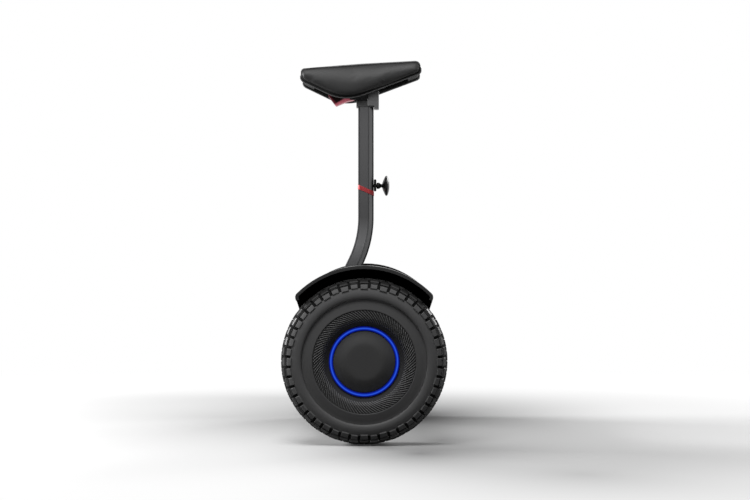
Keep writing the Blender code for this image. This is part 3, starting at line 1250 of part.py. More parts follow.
def build():
    """Model every piece, and hang the moving ones on empties at their joints."""
    clear_scene()
    chassis_frame()
    bottom_cover()
    deck_cover()
    inner_parts()
    lights()
    charge_socket()
    steering_housing()
    steering_pivot()
    steering_tower()
    for label, side in (("left", -1), ("right", 1)):
        fender(label, side)
        wheel_supports(label, side)
        carry(wheel(label, side), carrier("wheel_axis_" + label, (0, side * WHEEL_Y, AXLE_Z)))
        mat_axis = carrier("mat_axis_" + label, (0, 0, MAT_BOTTOM))
        carry([foot_mat(label, side)], mat_axis)
    carry([steering_hub(), lower_bar(), inner_tube(), bar_ring()],
          carrier("steering_axis", (PIVOT_X, 0, PIVOT_Z)))
    carry([upper_sleeve(), bar_top(), clamp_plate()], carrier("sleeve_axis", (BAR_X, 0, BAR_TOP)))
    carry([clamp_knob()], carrier("knob_axis", (PLATE_OUT_X, 0, CLAMP_Z)))
    lever, pin = release_lever()
    carry([knee_shell(), knee_pad("left", -1), knee_pad("right", 1), rest_socket(),
           latch_block(), pin], carrier("rest_axis", (BAR_X, 0, COLLAR_TOP)))
    carry([lever], carrier("lever_axis", (LEVER_PIN_X, 0, LEVER_PIN_Z)))
    flap, hinge = charge_flap()
    carry([flap], carrier("flap_axis", hinge))
    carry([power_button()], carrier("button_axis", (COVER_X, BUTTON_Y, PORT_Z)))


build()
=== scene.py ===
# %% [markdown]
# # A self-balancing scooter, dressed for its portrait
# The scooter stands on two large knobbly wheels. Each wheel carries its motor in its hub, behind
# a dished cover, a ring of blue light and a domed cap. A low deck joins the wheels, and a curved
# bar rises from it to a padded rest, which the rider leans on with the knees to steer.
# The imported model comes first, because every piece below is placed by it and moves with it.

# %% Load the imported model
import math

import bmesh
import bpy
import numpy as np
from mathutils import Matrix, Vector


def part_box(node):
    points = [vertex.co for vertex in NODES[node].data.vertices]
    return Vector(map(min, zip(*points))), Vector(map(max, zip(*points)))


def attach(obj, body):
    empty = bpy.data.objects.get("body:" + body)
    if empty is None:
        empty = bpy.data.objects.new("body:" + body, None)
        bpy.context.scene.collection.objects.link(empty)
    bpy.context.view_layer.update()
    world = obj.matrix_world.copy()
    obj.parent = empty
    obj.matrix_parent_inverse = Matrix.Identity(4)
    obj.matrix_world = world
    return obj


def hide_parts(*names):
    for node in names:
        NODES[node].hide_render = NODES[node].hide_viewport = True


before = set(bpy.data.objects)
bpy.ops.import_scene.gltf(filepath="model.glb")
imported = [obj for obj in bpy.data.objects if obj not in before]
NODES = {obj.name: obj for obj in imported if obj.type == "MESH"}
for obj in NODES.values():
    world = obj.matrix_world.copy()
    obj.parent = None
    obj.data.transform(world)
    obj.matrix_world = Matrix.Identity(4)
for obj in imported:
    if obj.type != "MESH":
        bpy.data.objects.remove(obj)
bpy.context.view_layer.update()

MM = 0.001

# %% [markdown]
# ## Measures that many pieces share
# The wheel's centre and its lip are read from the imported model, so that the smooth pieces lie
# where the solids are. Side is -1 for the left wheel and 1 for the right one.

# %% Measures taken from the solids
SIDES = (("left", -1), ("right", 1))


def middle_of(node):
    """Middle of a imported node's box."""
    low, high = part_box(node)
    return (low + high) / 2


HUB = {label: middle_of("rim_" + label) for label, side in SIDES}
AXLE_Z = HUB["left"].z
WHEEL_Y = abs(middle_of("tyre_left").y)
LIP_RADIUS = (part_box("rim_left")[1].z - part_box("rim_left")[0].z) / 2
print("hub height", round(AXLE_Z, 5), "wheel at", round(WHEEL_Y, 4), "lip", round(LIP_RADIUS, 4))

# %% [markdown]
# ## Camera
# The picture is a plain side view, taken from a little over three metres with a long lens, so
# the two wheels nearly cover each other. The camera looks level, at about half the scooter's
# height. Its lens comes from the size of the near wheel and from how far the rear half of
# the knee rest shows under the front one.

# %% Put the camera where the photographer stood
LENS_MM = 83.6
CAMERA_PLACE = (0.018, -3.16, 0.326)


def new_object(name, data):
    """An object for some data, linked to the scene."""
    made = bpy.data.objects.new(name, data)
    bpy.context.scene.collection.objects.link(made)
    return made


def set_up(thing, **settings):
    """Set several properties of a thing, and return it."""
    for setting, value in settings.items():
        setattr(thing, setting, value)
    return thing


lens = set_up(bpy.data.cameras.new("side_camera"), lens=LENS_MM, sensor_width=36.0)
bpy.context.scene.camera = set_up(new_object("side_camera", lens), location=CAMERA_PLACE,
                                  rotation_euler=(math.radians(90), 0, 0))
bpy.context.scene.view_settings.view_transform = "Standard"
print("camera lens", LENS_MM, "mm at", CAMERA_PLACE)

# %% [markdown]
# ## Helpers for meshes
# Most hard pieces here are either turned on a lathe or lofted from loop to loop. Both come down
# to rings of points with faces between them, so one function skins them all. A second one links
# the piece, with smooth shading that keeps the crisp edges crisp.

# %% From points to a piece
def smooth_with_edges(mesh, angle):
    """Shade a mesh smoothly, with the edges over an angle (degrees) kept sharp."""
    mesh.shade_smooth()
    mesh.set_sharp_from_angle(angle=math.radians(angle))


def mesh_of(name, shape):
    """Write a bmesh out as a mesh."""
    mesh = bpy.data.meshes.new(name)
    shape.to_mesh(mesh)
    shape.free()
    return mesh


def from_bmesh(name, shape, material=None, smooth_angle=35):
    """Close a bmesh into a piece with its faces pointing out."""
    bmesh.ops.remove_doubles(shape, verts=shape.verts, dist=1e-6)
    bmesh.ops.recalc_face_normals(shape, faces=shape.faces)
    piece = new_object(name, mesh_of(name, shape))
    smooth_with_edges(piece.data, smooth_angle)
    if material is not None:
        piece.data.materials.append(material)
    return piece


def skin(shape, rings, closed=False, caps=False):
    """Put faces between rings of points. A ring of a single point is a pole."""
    for first, second in zip(rings, rings[1:] + (rings[:1] if closed else [])):
        count = max(len(first), len(second))
        for i in range(count if count > 1 else 0):
            j = (i + 1) % count
            corners = [first[i % len(first)], first[j % len(first)],
                       second[j % len(second)], second[i % len(second)]]
            shape.faces.new(list(dict.fromkeys(corners)))
    if caps:
        shape.faces.new(rings[0])
        shape.faces.new(list(reversed(rings[-1])))
    return shape


# %% Curves, turned forms and lofts
def curve_through(points, steps=5):
    """A smooth line of (a, b) points through given ones (Catmull-Rom). The ends stay put."""
    given = [Vector(p) for p in points]
    padded = [given[0] * 2 - given[1]] + given + [given[-1] * 2 - given[-2]]
    line = []
    for i in range(len(given) - 1):
        p0, p1, p2, p3 = padded[i:i + 4]
        for t in (k / steps for k in range(steps)):
            line.append(0.5 * ((2 * p1) + (p2 - p0) * t + (2 * p0 - 5 * p1 + 4 * p2 - p3) * t * t
                               + (3 * p1 - p0 - 3 * p2 + p3) * t ** 3))
    return [tuple(p) for p in line] + [tuple(given[-1])]


def turned(profile, centre, axes, steps, hexagon=()):
    """Turn a closed profile of (out, radius) points (mm) round the first of three axes. Rings
    named in hexagon get six corners."""
    centre, (along, across, up) = Vector(centre), (Vector(axis) for axis in axes)
    shape = bmesh.new()
    rings = []
    for number, (out, radius) in enumerate(profile):
        ring = []
        for i in range(steps if radius > 0 else 1):
            angle = 2 * math.pi * i / steps
            corner = (angle + math.pi / 6) % (math.pi / 3) - math.pi / 6
            reach = radius / math.cos(corner) if number in hexagon else radius
            ring.append(shape.verts.new(centre + along * out * MM + reach * MM
                                        * (across * math.cos(angle) + up * math.sin(angle))))
        rings.append(ring)
    return skin(shape, rings, closed=True)


def lathe(name, profile, centre, side, material, steps=192, axis="Y", smooth_angle=35):
    """Turn a profile into a piece round the Y or the X axis, towards one side."""
    along, across = ((0, side, 0), (1, 0, 0)) if axis == "Y" else ((side, 0, 0), (0, 1, 0))
    shape = turned(profile, centre, (along, across, (0, 0, 1)), steps)
    return from_bmesh(name, shape, material, smooth_angle)


def loft(name, loops, material, closed=False, smooth_angle=35):
    """Skin a row of point loops. Without closed, both ends get a cap."""
    shape = bmesh.new()
    rings = [[shape.verts.new(point) for point in loop] for loop in loops]
    return from_bmesh(name, skin(shape, rings, closed, not closed), material, smooth_angle)


print("a curve through three points has", len(curve_through([(0, 0), (1, 1), (2, 0)])), "points")

# %% [markdown]
# ## Helpers for pieces
# Some solids of the imported model have the right shape but hard edges. They stay untouched, and
# a copy is merged and bevelled. Whatever a piece is made from, it ends in the same way: it
# hangs on a body, and the solids it stands for are hidden.

# %% Modifiers and joined pieces
def apply_modifiers(piece):
    """Bake a piece's modifiers into its mesh."""
    graph = bpy.context.evaluated_depsgraph_get()
    mesh = bpy.data.meshes.new_from_object(piece.evaluated_get(graph))
    piece.modifiers.clear()
    piece.data = mesh
    return piece


def modified(piece, kind, **settings):
    """Bake one modifier with its settings into a piece's mesh."""
    set_up(piece.modifiers.new(kind.lower(), kind), **settings)
    return apply_modifiers(piece)


def join_pieces(name, pieces):
    """Merge several pieces into one mesh, with their materials kept."""
    shape = bmesh.new()
    materials = []
    for piece in pieces:
        start = len(shape.faces)
        shape.from_mesh(piece.data)
        shape.faces.ensure_lookup_table()
        for face in shape.faces[start:]:
            face.material_index += len(materials)
        materials += list(piece.data.materials)
    joined = new_object(name, mesh_of(name, shape))
    for material in materials:
        joined.data.materials.append(material)
    for piece in pieces:
        bpy.data.objects.remove(piece)
    return joined


# %% Rounded copies, and how a piece is settled
def refined(node, name, material, bevel=0.8, segments=3, angle=30):
    """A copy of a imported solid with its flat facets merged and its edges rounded."""
    shape = bmesh.new()
    shape.from_mesh(NODES[node].data)
    bmesh.ops.remove_doubles(shape, verts=shape.verts, dist=2e-6)
    bmesh.ops.dissolve_limit(shape, angle_limit=math.radians(1.0), verts=shape.verts,
                             edges=shape.edges)
    piece = new_object(name, mesh_of(name, shape))
    smooth_with_edges(piece.data, angle)
    piece.data.materials.append(material)
    modified(piece, "BEVEL", width=bevel * MM, segments=segments, limit_method="ANGLE",
             angle_limit=math.radians(angle))
    smooth_with_edges(piece.data, angle)
    return piece


def settle(piece, body, slot, *nodes):
    """Hang a finished piece on a body and hide the solids it stands for. The slot is not used."""
    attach(piece, body)
    if nodes:
        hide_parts(*nodes)
    print(piece.name, "rides on", body, "with", len(piece.data.vertices), "points")


def settle_copy(node, name, material, body, slot, **rounding):
    """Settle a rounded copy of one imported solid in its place."""
    settle(refined(node, name, material, **rounding), body, slot, node)


# %% [markdown]
# ## Helpers for nodes
# Every finish and every repeated pattern below is a tree of nodes. In the editor one would draw
# the links by hand, and a script could add all nodes first and link them afterwards. Here a node
# gets its inputs when it is added, as plain values or as other nodes, so that each line reads
# like one step of a recipe.

# %% Nodes, maths and ramps
def fill(tree, node, inputs):
    """Fill a node's inputs with values, with outputs, or with nodes for their first output."""
    for label, value in inputs.items():
        if isinstance(value, bpy.types.Node):
            value = next(output for output in value.outputs if output.enabled)
        if isinstance(value, bpy.types.NodeSocket):
            tree.links.new(value, node.inputs[label])
        else:
            node.inputs[label].default_value = value
    return node


def add(tree, kind, inputs=None, **settings):
    """Add a node with its settings made and its inputs filled."""
    return fill(tree, set_up(tree.nodes.new(kind), **settings), inputs or {})


def maths(tree, operation, *values, **settings):
    """A maths node on its values."""
    return add(tree, "ShaderNodeMath", dict(enumerate(values)), operation=operation, **settings)


def object_place(tree):
    """The place on the piece, in metres."""
    return add(tree, "ShaderNodeTexCoord").outputs["Object"]


def ramp(tree, factor, stops, interpolation="LINEAR"):
    """A colour ramp over (position, colour) stops."""
    node = add(tree, "ShaderNodeValToRGB", {"Fac": factor})
    node.color_ramp.interpolation = interpolation
    elements = node.color_ramp.elements
    for element, (position, colour) in ((elements[0], stops[0]), (elements[1], stops[-1])):
        set_up(element, position=position, color=colour)
    for position, colour in stops[1:-1]:
        elements.new(position).color = colour
    return node


# %% Materials and node groups
SOCKET_KINDS = {int: "Int", float: "Float", tuple: "Color"}


def new_material(name):
    """A material with an empty node tree, and that tree."""
    material = set_up(bpy.data.materials.new(name), use_nodes=True)
    material.node_tree.nodes.clear()
    return material, material.node_tree


def shaded(tree, inputs):
    """End a material in the Principled shader with its inputs filled."""
    shader = add(tree, "ShaderNodeBsdfPrincipled", inputs)
    add(tree, "ShaderNodeOutputMaterial", {"Surface": shader})


def new_group(name, inputs, outputs, kind="ShaderNodeTree"):
    """A node group. Each input is a default value, or a kind of socket without one."""
    group = bpy.data.node_groups.new(name, kind)
    for label, value in inputs.items():
        socket_kind = SOCKET_KINDS.get(type(value), value)
        socket = group.interface.new_socket(label, in_out="INPUT",
                                            socket_type="NodeSocket" + socket_kind)
        if socket_kind != value:
            socket.default_value = value
    for label, socket_kind in outputs.items():
        group.interface.new_socket(label, in_out="OUTPUT", socket_type="NodeSocket" + socket_kind)
    return group, group.nodes.new("NodeGroupInput").outputs


# %% [markdown]
# ## Floor, backdrop and light
# The scooter stands in a white studio. The floor is a pale sheet that goes white with distance,
# so that it has no horizon. It keeps the scooter's soft shadow, and a few soft grey patches of
# painted shadow lie on it beside the real one, as the photographed floor has them. Each painted
# shadow is its middle, its spread and how much light it takes. What the camera and the
# reflections see as white comes from the colour of the stage, not from brighter lamps.

# %% Painted shadows of the floor and the rays that see it
FLOOR_RADIUS, FLOOR_DROP = 14.0, 0.0002
PAPER, PLAIN_PAPER, PAPER_LIFT = 0.76, 0.14, 0.03
FADE_START, FADE_END = 0.42, 1.5
FLOOR_PAINTED_SHADOWS = [((-0.28, 0.24), (1.36, 1.01), 0.35), ((0.08, 0.23), (0.54, 0.78), 0.88),
               ((0.32, -0.63), (0.60, 0.82), 0.45), ((0.09, -0.37), (0.31, 0.44), 0.65),
               ((-0.11, 0.68), (1.69, 0.66), 0.35)]


def seen_rays(tree):
    """1 for rays that show the stage: from the camera, off gloss, or through glass."""
    rays = add(tree, "ShaderNodeLightPath").outputs
    seen = maths(tree, "MAXIMUM", rays["Is Camera Ray"], rays["Is Glossy Ray"])
    return maths(tree, "MAXIMUM", seen, rays["Is Transmission Ray"])


def painted_shadow(tree, place, middle, spread, amount):
    """A painted soft shadow on the paper: how much light stays, from 1 down to 1 - amount."""
    local = add(tree, "ShaderNodeMapping", vector_type="TEXTURE")
    fill(tree, local, {"Vector": place, "Location": (*middle, 0.0), "Scale": (*spread, 1.0)})
    patch = add(tree, "ShaderNodeTexGradient", {"Vector": local},
                gradient_type="QUADRATIC_SPHERE")
    return maths(tree, "MULTIPLY_ADD", patch.outputs["Fac"], -amount, 1.0)


# %% Floor
def floor_material():
    """Pale floor with real and painted shadows near the scooter, which turns plain white far from it.
    """
    material, tree = new_material("studio_floor")
    place = object_place(tree)
    narrow = add(tree, "ShaderNodeMapping", {"Vector": place, "Scale": (0.5, 1.0, 1.0)})
    reach = add(tree, "ShaderNodeVectorMath", {0: narrow}, operation="LENGTH")
    fade = add(tree, "ShaderNodeMapRange",
               {"Value": reach, "From Min": FADE_START, "From Max": FADE_END},
               interpolation_type="SMOOTHSTEP")
    tone = add(tree, "ShaderNodeValue")
    tone.outputs[0].default_value = PAPER
    # Each painted shadow darkens the paper's colour.
    for patch in FLOOR_PAINTED_SHADOWS:
        tone = maths(tree, "MULTIPLY", tone, painted_shadow(tree, place, *patch))
    paper = add(tree, "ShaderNodeBsdfDiffuse", {"Color": tone})
    lift = add(tree, "ShaderNodeEmission", {"Strength": PAPER_LIFT})
    near = add(tree, "ShaderNodeAddShader", {0: paper, 1: lift})
    white = add(tree, "ShaderNodeEmission", {"Strength": 1.0})
    shown = add(tree, "ShaderNodeMixShader", {0: fade, 1: near, 2: white})
    plain = add(tree, "ShaderNodeBsdfDiffuse", {"Color": (PLAIN_PAPER, PLAIN_PAPER, PLAIN_PAPER, 1)})
    by_ray = add(tree, "ShaderNodeMixShader", {0: seen_rays(tree), 1: plain, 2: shown})
    add(tree, "ShaderNodeOutputMaterial", {"Surface": by_ray})
    return material


floor_shape = bmesh.new()
bmesh.ops.create_circle(floor_shape, cap_ends=True, segments=96, radius=FLOOR_RADIUS)
floor = from_bmesh("studio_floor", floor_shape, floor_material())
floor.data.transform(Matrix.Translation((0, 0, -FLOOR_DROP)))
print("floor tones:", len(FLOOR_PAINTED_SHADOWS))

# %% [markdown]
# ## World and lamps
# The world shows white where a ray looks at it, and gives the scooter next to no light. One
# bright sky would light it from everywhere and hide its forms, so three large softboxes do it
# instead: one high over the near side, one low to the left and one behind to the right.

# %% World and lamps
ROOM_LIGHT, BACKDROP_WHITE = 0.03, 1.0
world = bpy.data.worlds.new("studio_white")
bpy.context.scene.world = set_up(world, use_nodes=True)
sky = world.node_tree
sky.nodes.clear()
room, backdrop = (add(sky, "ShaderNodeBackground", {"Color": (1, 1, 1, 1), "Strength": strength})
                  for strength in (ROOM_LIGHT, BACKDROP_WHITE))
mixed = add(sky, "ShaderNodeMixShader", {0: seen_rays(sky), 1: room, 2: backdrop})
add(sky, "ShaderNodeOutputWorld", {"Surface": mixed})


def soft_lamp(name, place, target, width, height, power):
    """A rectangular softbox that looks at a point."""
    data = set_up(bpy.data.lights.new(name, "AREA"), shape="RECTANGLE", size=width,
                  size_y=height, energy=power)
    aim = (Vector(target) - Vector(place)).to_track_quat("-Z", "Y").to_euler()
    set_up(new_object(name, data), location=place, rotation_euler=aim)


soft_lamp("high_front_box", (-0.50, -1.20, 2.88), (0.0, 0.0, 0.32), 1.6, 1.6, 66)
soft_lamp("left_box", (-2.60, 0.70, 1.05), (0.0, 0.0, 0.1), 1.2, 0.8, 118)
soft_lamp("right_rear_box", (1.7, 1.9, 1.3), (0.0, 0.0, 0.1), 1.4, 1.0, 52)
print("lamps:", len(bpy.data.lights))

# %% [markdown]
# ## Effects that many finishes share
# Nearly everything here is black or dark grey, so the finishes must differ in gloss and grain
# more than in colour. Three effects are shared, and each is a node group: a moulded grain with
# its slow change of tone, a thin dust that stays on upward faces, and a paler colour where an
# edge is rubbed.

# %% Shared effect: moulded grain
BLACK = (0.03, 0.03, 0.03, 1)


def noise(tree, place, scale, detail, **more):
    """The grey of a noise texture."""
    inputs = {"Vector": place, "Scale": scale, "Detail": detail, **more}
    return add(tree, "ShaderNodeTexNoise", inputs).outputs["Fac"]


def grain_group():
    """Fine moulded grain: colour with slow mottling, roughness, and a bumped normal."""
    group, given = new_group(
        "moulded_grain",
        {"Vector": "Vector", "Color": BLACK, "Roughness": 0.5, "Grains per metre": 1400.0,
         "Depth mm": 0.02, "Mottle": 0.12},
        {"Color": "Color", "Roughness": "Float", "Normal": "Vector"})
    fine = noise(group, given["Vector"], given["Grains per metre"], 2.0)
    bump = add(group, "ShaderNodeBump", {"Strength": 1.0, "Height": fine,
                                         "Distance": maths(group, "MULTIPLY", given["Depth mm"], MM)})
    slow = maths(group, "SUBTRACT", noise(group, given["Vector"], 22.0, 4.0), 0.5)
    amount = maths(group, "MULTIPLY", slow, given["Mottle"])
    tinted = add(group, "ShaderNodeVectorMath", operation="SCALE")
    fill(group, tinted, {0: given["Color"], "Scale": maths(group, "ADD", amount, 1.0)})
    rough = maths(group, "MULTIPLY_ADD", amount, 0.8, given["Roughness"])
    add(group, "NodeGroupOutput", {"Color": tinted, "Roughness": rough, "Normal": bump})
    return group


GRAIN = grain_group()
print("grain sockets:", [item.name for item in GRAIN.interface.items_tree])


# %% Shared effects: dust and rubbed edges
def patchy_colour(group, given, where, patch_scale, detail, colour):
    """End a group: a mask is broken into patches, and a second colour shows through it."""
    patches = noise(group, given["Vector"], patch_scale, detail)
    mask = maths(group, "MULTIPLY", maths(group, "MULTIPLY", where, patches), given["Amount"])
    mix = add(group, "ShaderNodeMix", {"Factor": mask, "A": given["Color"], "B": given[colour]},
              data_type="RGBA")
    add(group, "NodeGroupOutput", {"Color": mix})
    return group


def dust_group():
    """Dust that stays on faces that look up, in slow patches."""
    group, given = new_group(
        "settled_dust", {"Vector": "Vector", "Color": BLACK, "Dust colour": (0.30, 0.28, 0.25, 1),
                         "Amount": 0.1}, {"Color": "Color"})
    surface = add(group, "ShaderNodeNewGeometry")
    split = add(group, "ShaderNodeSeparateXYZ", {0: surface.outputs["Normal"]})
    upward = maths(group, "MAXIMUM", split.outputs["Z"], 0.0)
    return patchy_colour(group, given, upward, 60.0, 5.0, "Dust colour")


def rubbed_group():
    """Edges where use has thinned or polished the surface."""
    group, given = new_group(
        "rubbed_edges", {"Vector": "Vector", "Color": BLACK, "Worn colour": (0.12, 0.12, 0.12, 1),
                         "Width mm": 0.6, "Amount": 0.5}, {"Color": "Color"})
    width = maths(group, "MULTIPLY", given["Width mm"], MM)
    rounded = add(group, "ShaderNodeBevel", {"Radius": width}, samples=4)
    surface = add(group, "ShaderNodeNewGeometry")
    agree = add(group, "ShaderNodeVectorMath", {0: rounded, 1: surface.outputs["Normal"]},
                operation="DOT_PRODUCT")
    edge = maths(group, "MULTIPLY", maths(group, "SUBTRACT", 1.0, agree), 5.0, use_clamp=True)
    return patchy_colour(group, given, edge, 160.0, 4.0, "Worn colour")


DUST = dust_group()
RUBBED = rubbed_group()
print("shader groups:", len(bpy.data.node_groups))

# %% [markdown]
# ## Hard finishes
# Rubber, moulded plastic, paint and metal could each be built by hand. They differ only in a
# few numbers, so one function builds them, and each finish is one row. Two more functions
# change a finish afterwards. One lets the shine fade where a face turns away, as matt skins do,
# so that outlines stay dark. The other shades the bar up its height, because in a side light a
# satin bar goes from pale to dark and back.

# %% One function for the hard finishes
def toned(colour):
    """A colour with its alpha. A plain number is a grey with a breath of blue in it."""
    red, green, blue = colour if isinstance(colour, tuple) else (colour, colour, colour * 1.01)
    return (red, green, blue, 1)


def finish(name, colour, roughness, metallic=0.0, coat=0.0, grains=1500, depth=0.02,
           mottle=0.12, dust=0.0, worn=0.0, worn_colour=0.12, specular=0.5):
    """A moulded, painted or bare finish. Grain, dust and rubbed edges come from the groups."""
    material, tree = new_material(name)
    place = object_place(tree)
    grain = add(tree, "ShaderNodeGroup", node_tree=GRAIN)
    fill(tree, grain, {"Vector": place, "Color": toned(colour), "Roughness": roughness,
                       "Grains per metre": grains, "Depth mm": depth, "Mottle": mottle})
    surface = grain.outputs["Color"]
    if worn > 0:
        rubbed = add(tree, "ShaderNodeGroup", node_tree=RUBBED)
        surface = fill(tree, rubbed, {"Vector": place, "Color": surface, "Amount": worn,
                                      "Worn colour": toned(worn_colour)})
    if dust > 0:
        settled = add(tree, "ShaderNodeGroup", node_tree=DUST)
        surface = fill(tree, settled, {"Vector": place, "Color": surface, "Amount": dust})
    shaded(tree, {"Base Color": surface, "Roughness": grain.outputs["Roughness"],
                  "Normal": grain.outputs["Normal"], "Specular IOR Level": specular,
                  "Coat Weight": coat, "Coat Roughness": 0.12, "Metallic": metallic})
    return material


# %% Two functions that change a finish
def shader_of(material):
    """The Principled shader of a finish."""
    return next(node for node in material.node_tree.nodes if node.type == "BSDF_PRINCIPLED")


def repaint(tree, shader, change):
    """Put a change between a finish's colour and its shader."""
    before = shader.inputs["Base Color"].links[0].from_socket
    fill(tree, shader, {"Base Color": change(before)})


def duller_at_edges(material, level, start, end):
    """Let the shine fade where a face turns away, as matt skins do, so outlines stay dark."""
    tree = material.node_tree
    turn = add(tree, "ShaderNodeLayerWeight", {"Blend": 0.5}).outputs["Facing"]
    shine = add(tree, "ShaderNodeMapRange", {"Value": turn, "From Min": start, "From Max": end,
                                             "To Min": level, "To Max": 0.0})
    fill(tree, shader_of(material), {"Specular IOR Level": shine})


def shade_by_height(material, low, high, stops):
    """Paint light and shade into a finish: scale its colour by a ramp that runs up the piece between
    two heights.
    """
    tree = material.node_tree
    split = add(tree, "ShaderNodeSeparateXYZ", {0: object_place(tree)})
    span = add(tree, "ShaderNodeMapRange", {"Value": split.outputs["Z"], "From Min": low,
                                            "From Max": high})
    shades = ramp(tree, span, [((height - low) / (high - low), (share, share, share, 1))
                               for height, share in stops])
    repaint(tree, shader_of(material), lambda colour: add(
        tree, "ShaderNodeVectorMath", {0: colour, 1: shades}, operation="MULTIPLY"))


# %% Finishes of the wheels
RUBBER = {"grains": 1100, "depth": 0.03, "mottle": 0.25, "worn": 0.5}
# The crown and groove rubbers are darker copies of the tyre rubber: their darkness is painted shade.
CROWN_RUBBER_PAINTED_SHADE = finish("crown_rubber_painted_shade", 0.021, 0.38, dust=0.01, worn_colour=0.10, **RUBBER)
duller_at_edges(CROWN_RUBBER_PAINTED_SHADE, 0.44, 0.28, 0.70)
TYRE_RUBBER = finish("tyre_rubber", 0.130, 0.60, dust=0.05, worn_colour=0.16, specular=0.12,
                     **RUBBER)
GROOVE_PAINTED_SHADE = finish("groove_painted_shade", 0.014, 0.80, grains=1100, depth=0.04, mottle=0.3,
                       specular=0.03)
RIM_FINISH = finish("rim_satin_black", 0.112, 0.50, grains=900, depth=0.012, specular=0.10)
COVER_FINISH = finish("cover_moulding", 0.052, 0.55, grains=1300, depth=0.015, specular=0.05)
# The ribs take a paler copy of the cover moulding: a painted highlight.
RIB_PAINTED_HIGHLIGHT = finish("cover_ribs_painted_highlight", 0.170, 0.50, grains=1300, depth=0.012, specular=0.08)
CAP_FINISH = finish("cap_moulding", 0.090, 0.52, depth=0.015, specular=0.06)
FENDER_FINISH = finish("fender_black", 0.030, 0.35, grains=700, depth=0.008, dust=0.02,
                       specular=0.2)
# Near-black for the fender's faces that look at the tyre: painted shade.
FENDER_PAINTED_SHADE = finish("fender_painted_shade", 0.003, 0.9, grains=700, depth=0.01, specular=0.0)

# %% Finishes of the bar and the deck
BAR_PAINT = finish("graphite_paint", (0.180, 0.180, 0.184), 0.42, metallic=0.85, grains=2600,
                   depth=0.008, mottle=0.10, worn=0.3, worn_colour=0.16, specular=0.2)
# Painted light and shade up the bar's height.
shade_by_height(BAR_PAINT, 0.28, 0.58, [(0.29, 0.60), (0.335, 0.96), (0.362, 0.70),
                                        (0.385, 0.42), (0.46, 0.48), (0.555, 0.63)])
# A paler and a darker copy of the graphite paint for the bar's bevels: painted highlight and painted
# shade.
BAR_PAINTED_HIGHLIGHT = finish("graphite_painted_highlight", (0.115, 0.115, 0.117), 0.36, metallic=0.9, grains=2600,
                   depth=0.006, mottle=0.08)
BAR_PAINTED_SHADE = finish("graphite_painted_shade", (0.020, 0.020, 0.021), 0.55, metallic=0.6, grains=2600,
                   depth=0.012, specular=0.05)
HOUSING_FINISH = finish("housing_moulding", (0.034, 0.034, 0.035), 0.55, grains=1600,
                        depth=0.025, dust=0.04, specular=0.12)
GLOSS_FINISH = finish("polished_black", 0.007, 0.28, specular=0.14, grains=500, depth=0.004,
                      mottle=0.3)
RED_FINISH = finish("red_moulding", (0.74, 0.075, 0.085), 0.40, depth=0.015, worn=0.4,
                    worn_colour=(0.62, 0.18, 0.16), specular=0.35)
MAT_RUBBER = finish("mat_rubber", (0.030, 0.030, 0.0305), 0.66, grains=1800, depth=0.03,
                    mottle=0.3, dust=0.10, specular=0.25)

# %% Finishes of the insides and the knee rest
ALLOY_FINISH = finish("cast_alloy", (0.36, 0.36, 0.37), 0.42, metallic=0.9, grains=900,
                      depth=0.04, mottle=0.2)
STEEL_FINISH = finish("ground_steel", (0.30, 0.30, 0.31), 0.28, metallic=1.0, grains=2500,
                      depth=0.008)
BATTERY_FINISH = finish("battery_sleeve", (0.03, 0.08, 0.22), 0.40, grains=600)
BOARD_FINISH = finish("circuit_board_green", (0.02, 0.12, 0.05), 0.45, grains=500)
WINDING_FINISH = finish("motor_windings", (0.50, 0.22, 0.10), 0.35, metallic=0.8, grains=700,
                        depth=0.05)
BRASS_FINISH = finish("valve_brass", (0.62, 0.44, 0.17), 0.30, metallic=1.0, grains=1800,
                      depth=0.006)
LATCH_FINISH = finish("latch_grey", 0.135, 0.40, metallic=0.85, depth=0.010, worn=0.3,
                      worn_colour=0.20, specular=0.2)
PIPING_FINISH = finish("seam_piping", 0.080, 0.5, metallic=0.85)
# A black shell, darkened further as painted shade from the cushions over it.
SHELL_BLACK_AND_PAINTED_SHADE = finish("rest_shell_black_painted_shade", 0.012, 0.6, specular=0.06)
COLLAR_FINISH = finish("collar_grey", 0.078, 0.45, metallic=0.8, depth=0.010, specular=0.2)
print("hard finishes:", len(bpy.data.materials) - 1)

# %% [markdown]
# ## Two trees for everything that repeats
# Tread blocks, cover ribs and motor screws repeat round the wheel's axle. The studs of the foot
# mats, the deck's screws, the skid ribs under it and the charge bars stand in rows. A Python
# loop could place them, but a Geometry Nodes tree is the plainer way: it takes a motif of a few
# dozen faces, its numbers and a centre, and can be tried with other numbers at once. It ends in
# Realize Instances and Set Material, so the result is a plain mesh.

# %% What both trees share
def repeat_tree(name, inputs):
    """A Geometry Nodes tree with a motif, its own inputs, a centre and a finish."""
    return new_group(name, {"Geometry": "Geometry", "Motif": "Object", **inputs,
                            "Centre": "Vector", "Finish": "Material"},
                     {"Geometry": "Geometry"}, "GeometryNodeTree")


def put_motif(tree, given, points, **turning):
    """End a tree: the motif stands on the points, is made real and gets its finish."""
    moved = add(tree, "GeometryNodeSetPosition", {"Geometry": points, "Offset": given["Centre"]})
    motif = add(tree, "GeometryNodeObjectInfo", {"Object": given["Motif"]})
    placed = add(tree, "GeometryNodeInstanceOnPoints",
                 {"Points": moved, "Instance": motif.outputs["Geometry"], **turning})
    real = add(tree, "GeometryNodeRealizeInstances", {"Geometry": placed})
    painted = add(tree, "GeometryNodeSetMaterial",
                  {"Geometry": real, "Material": given["Finish"]})
    add(tree, "NodeGroupOutput", {"Geometry": painted})
    return tree


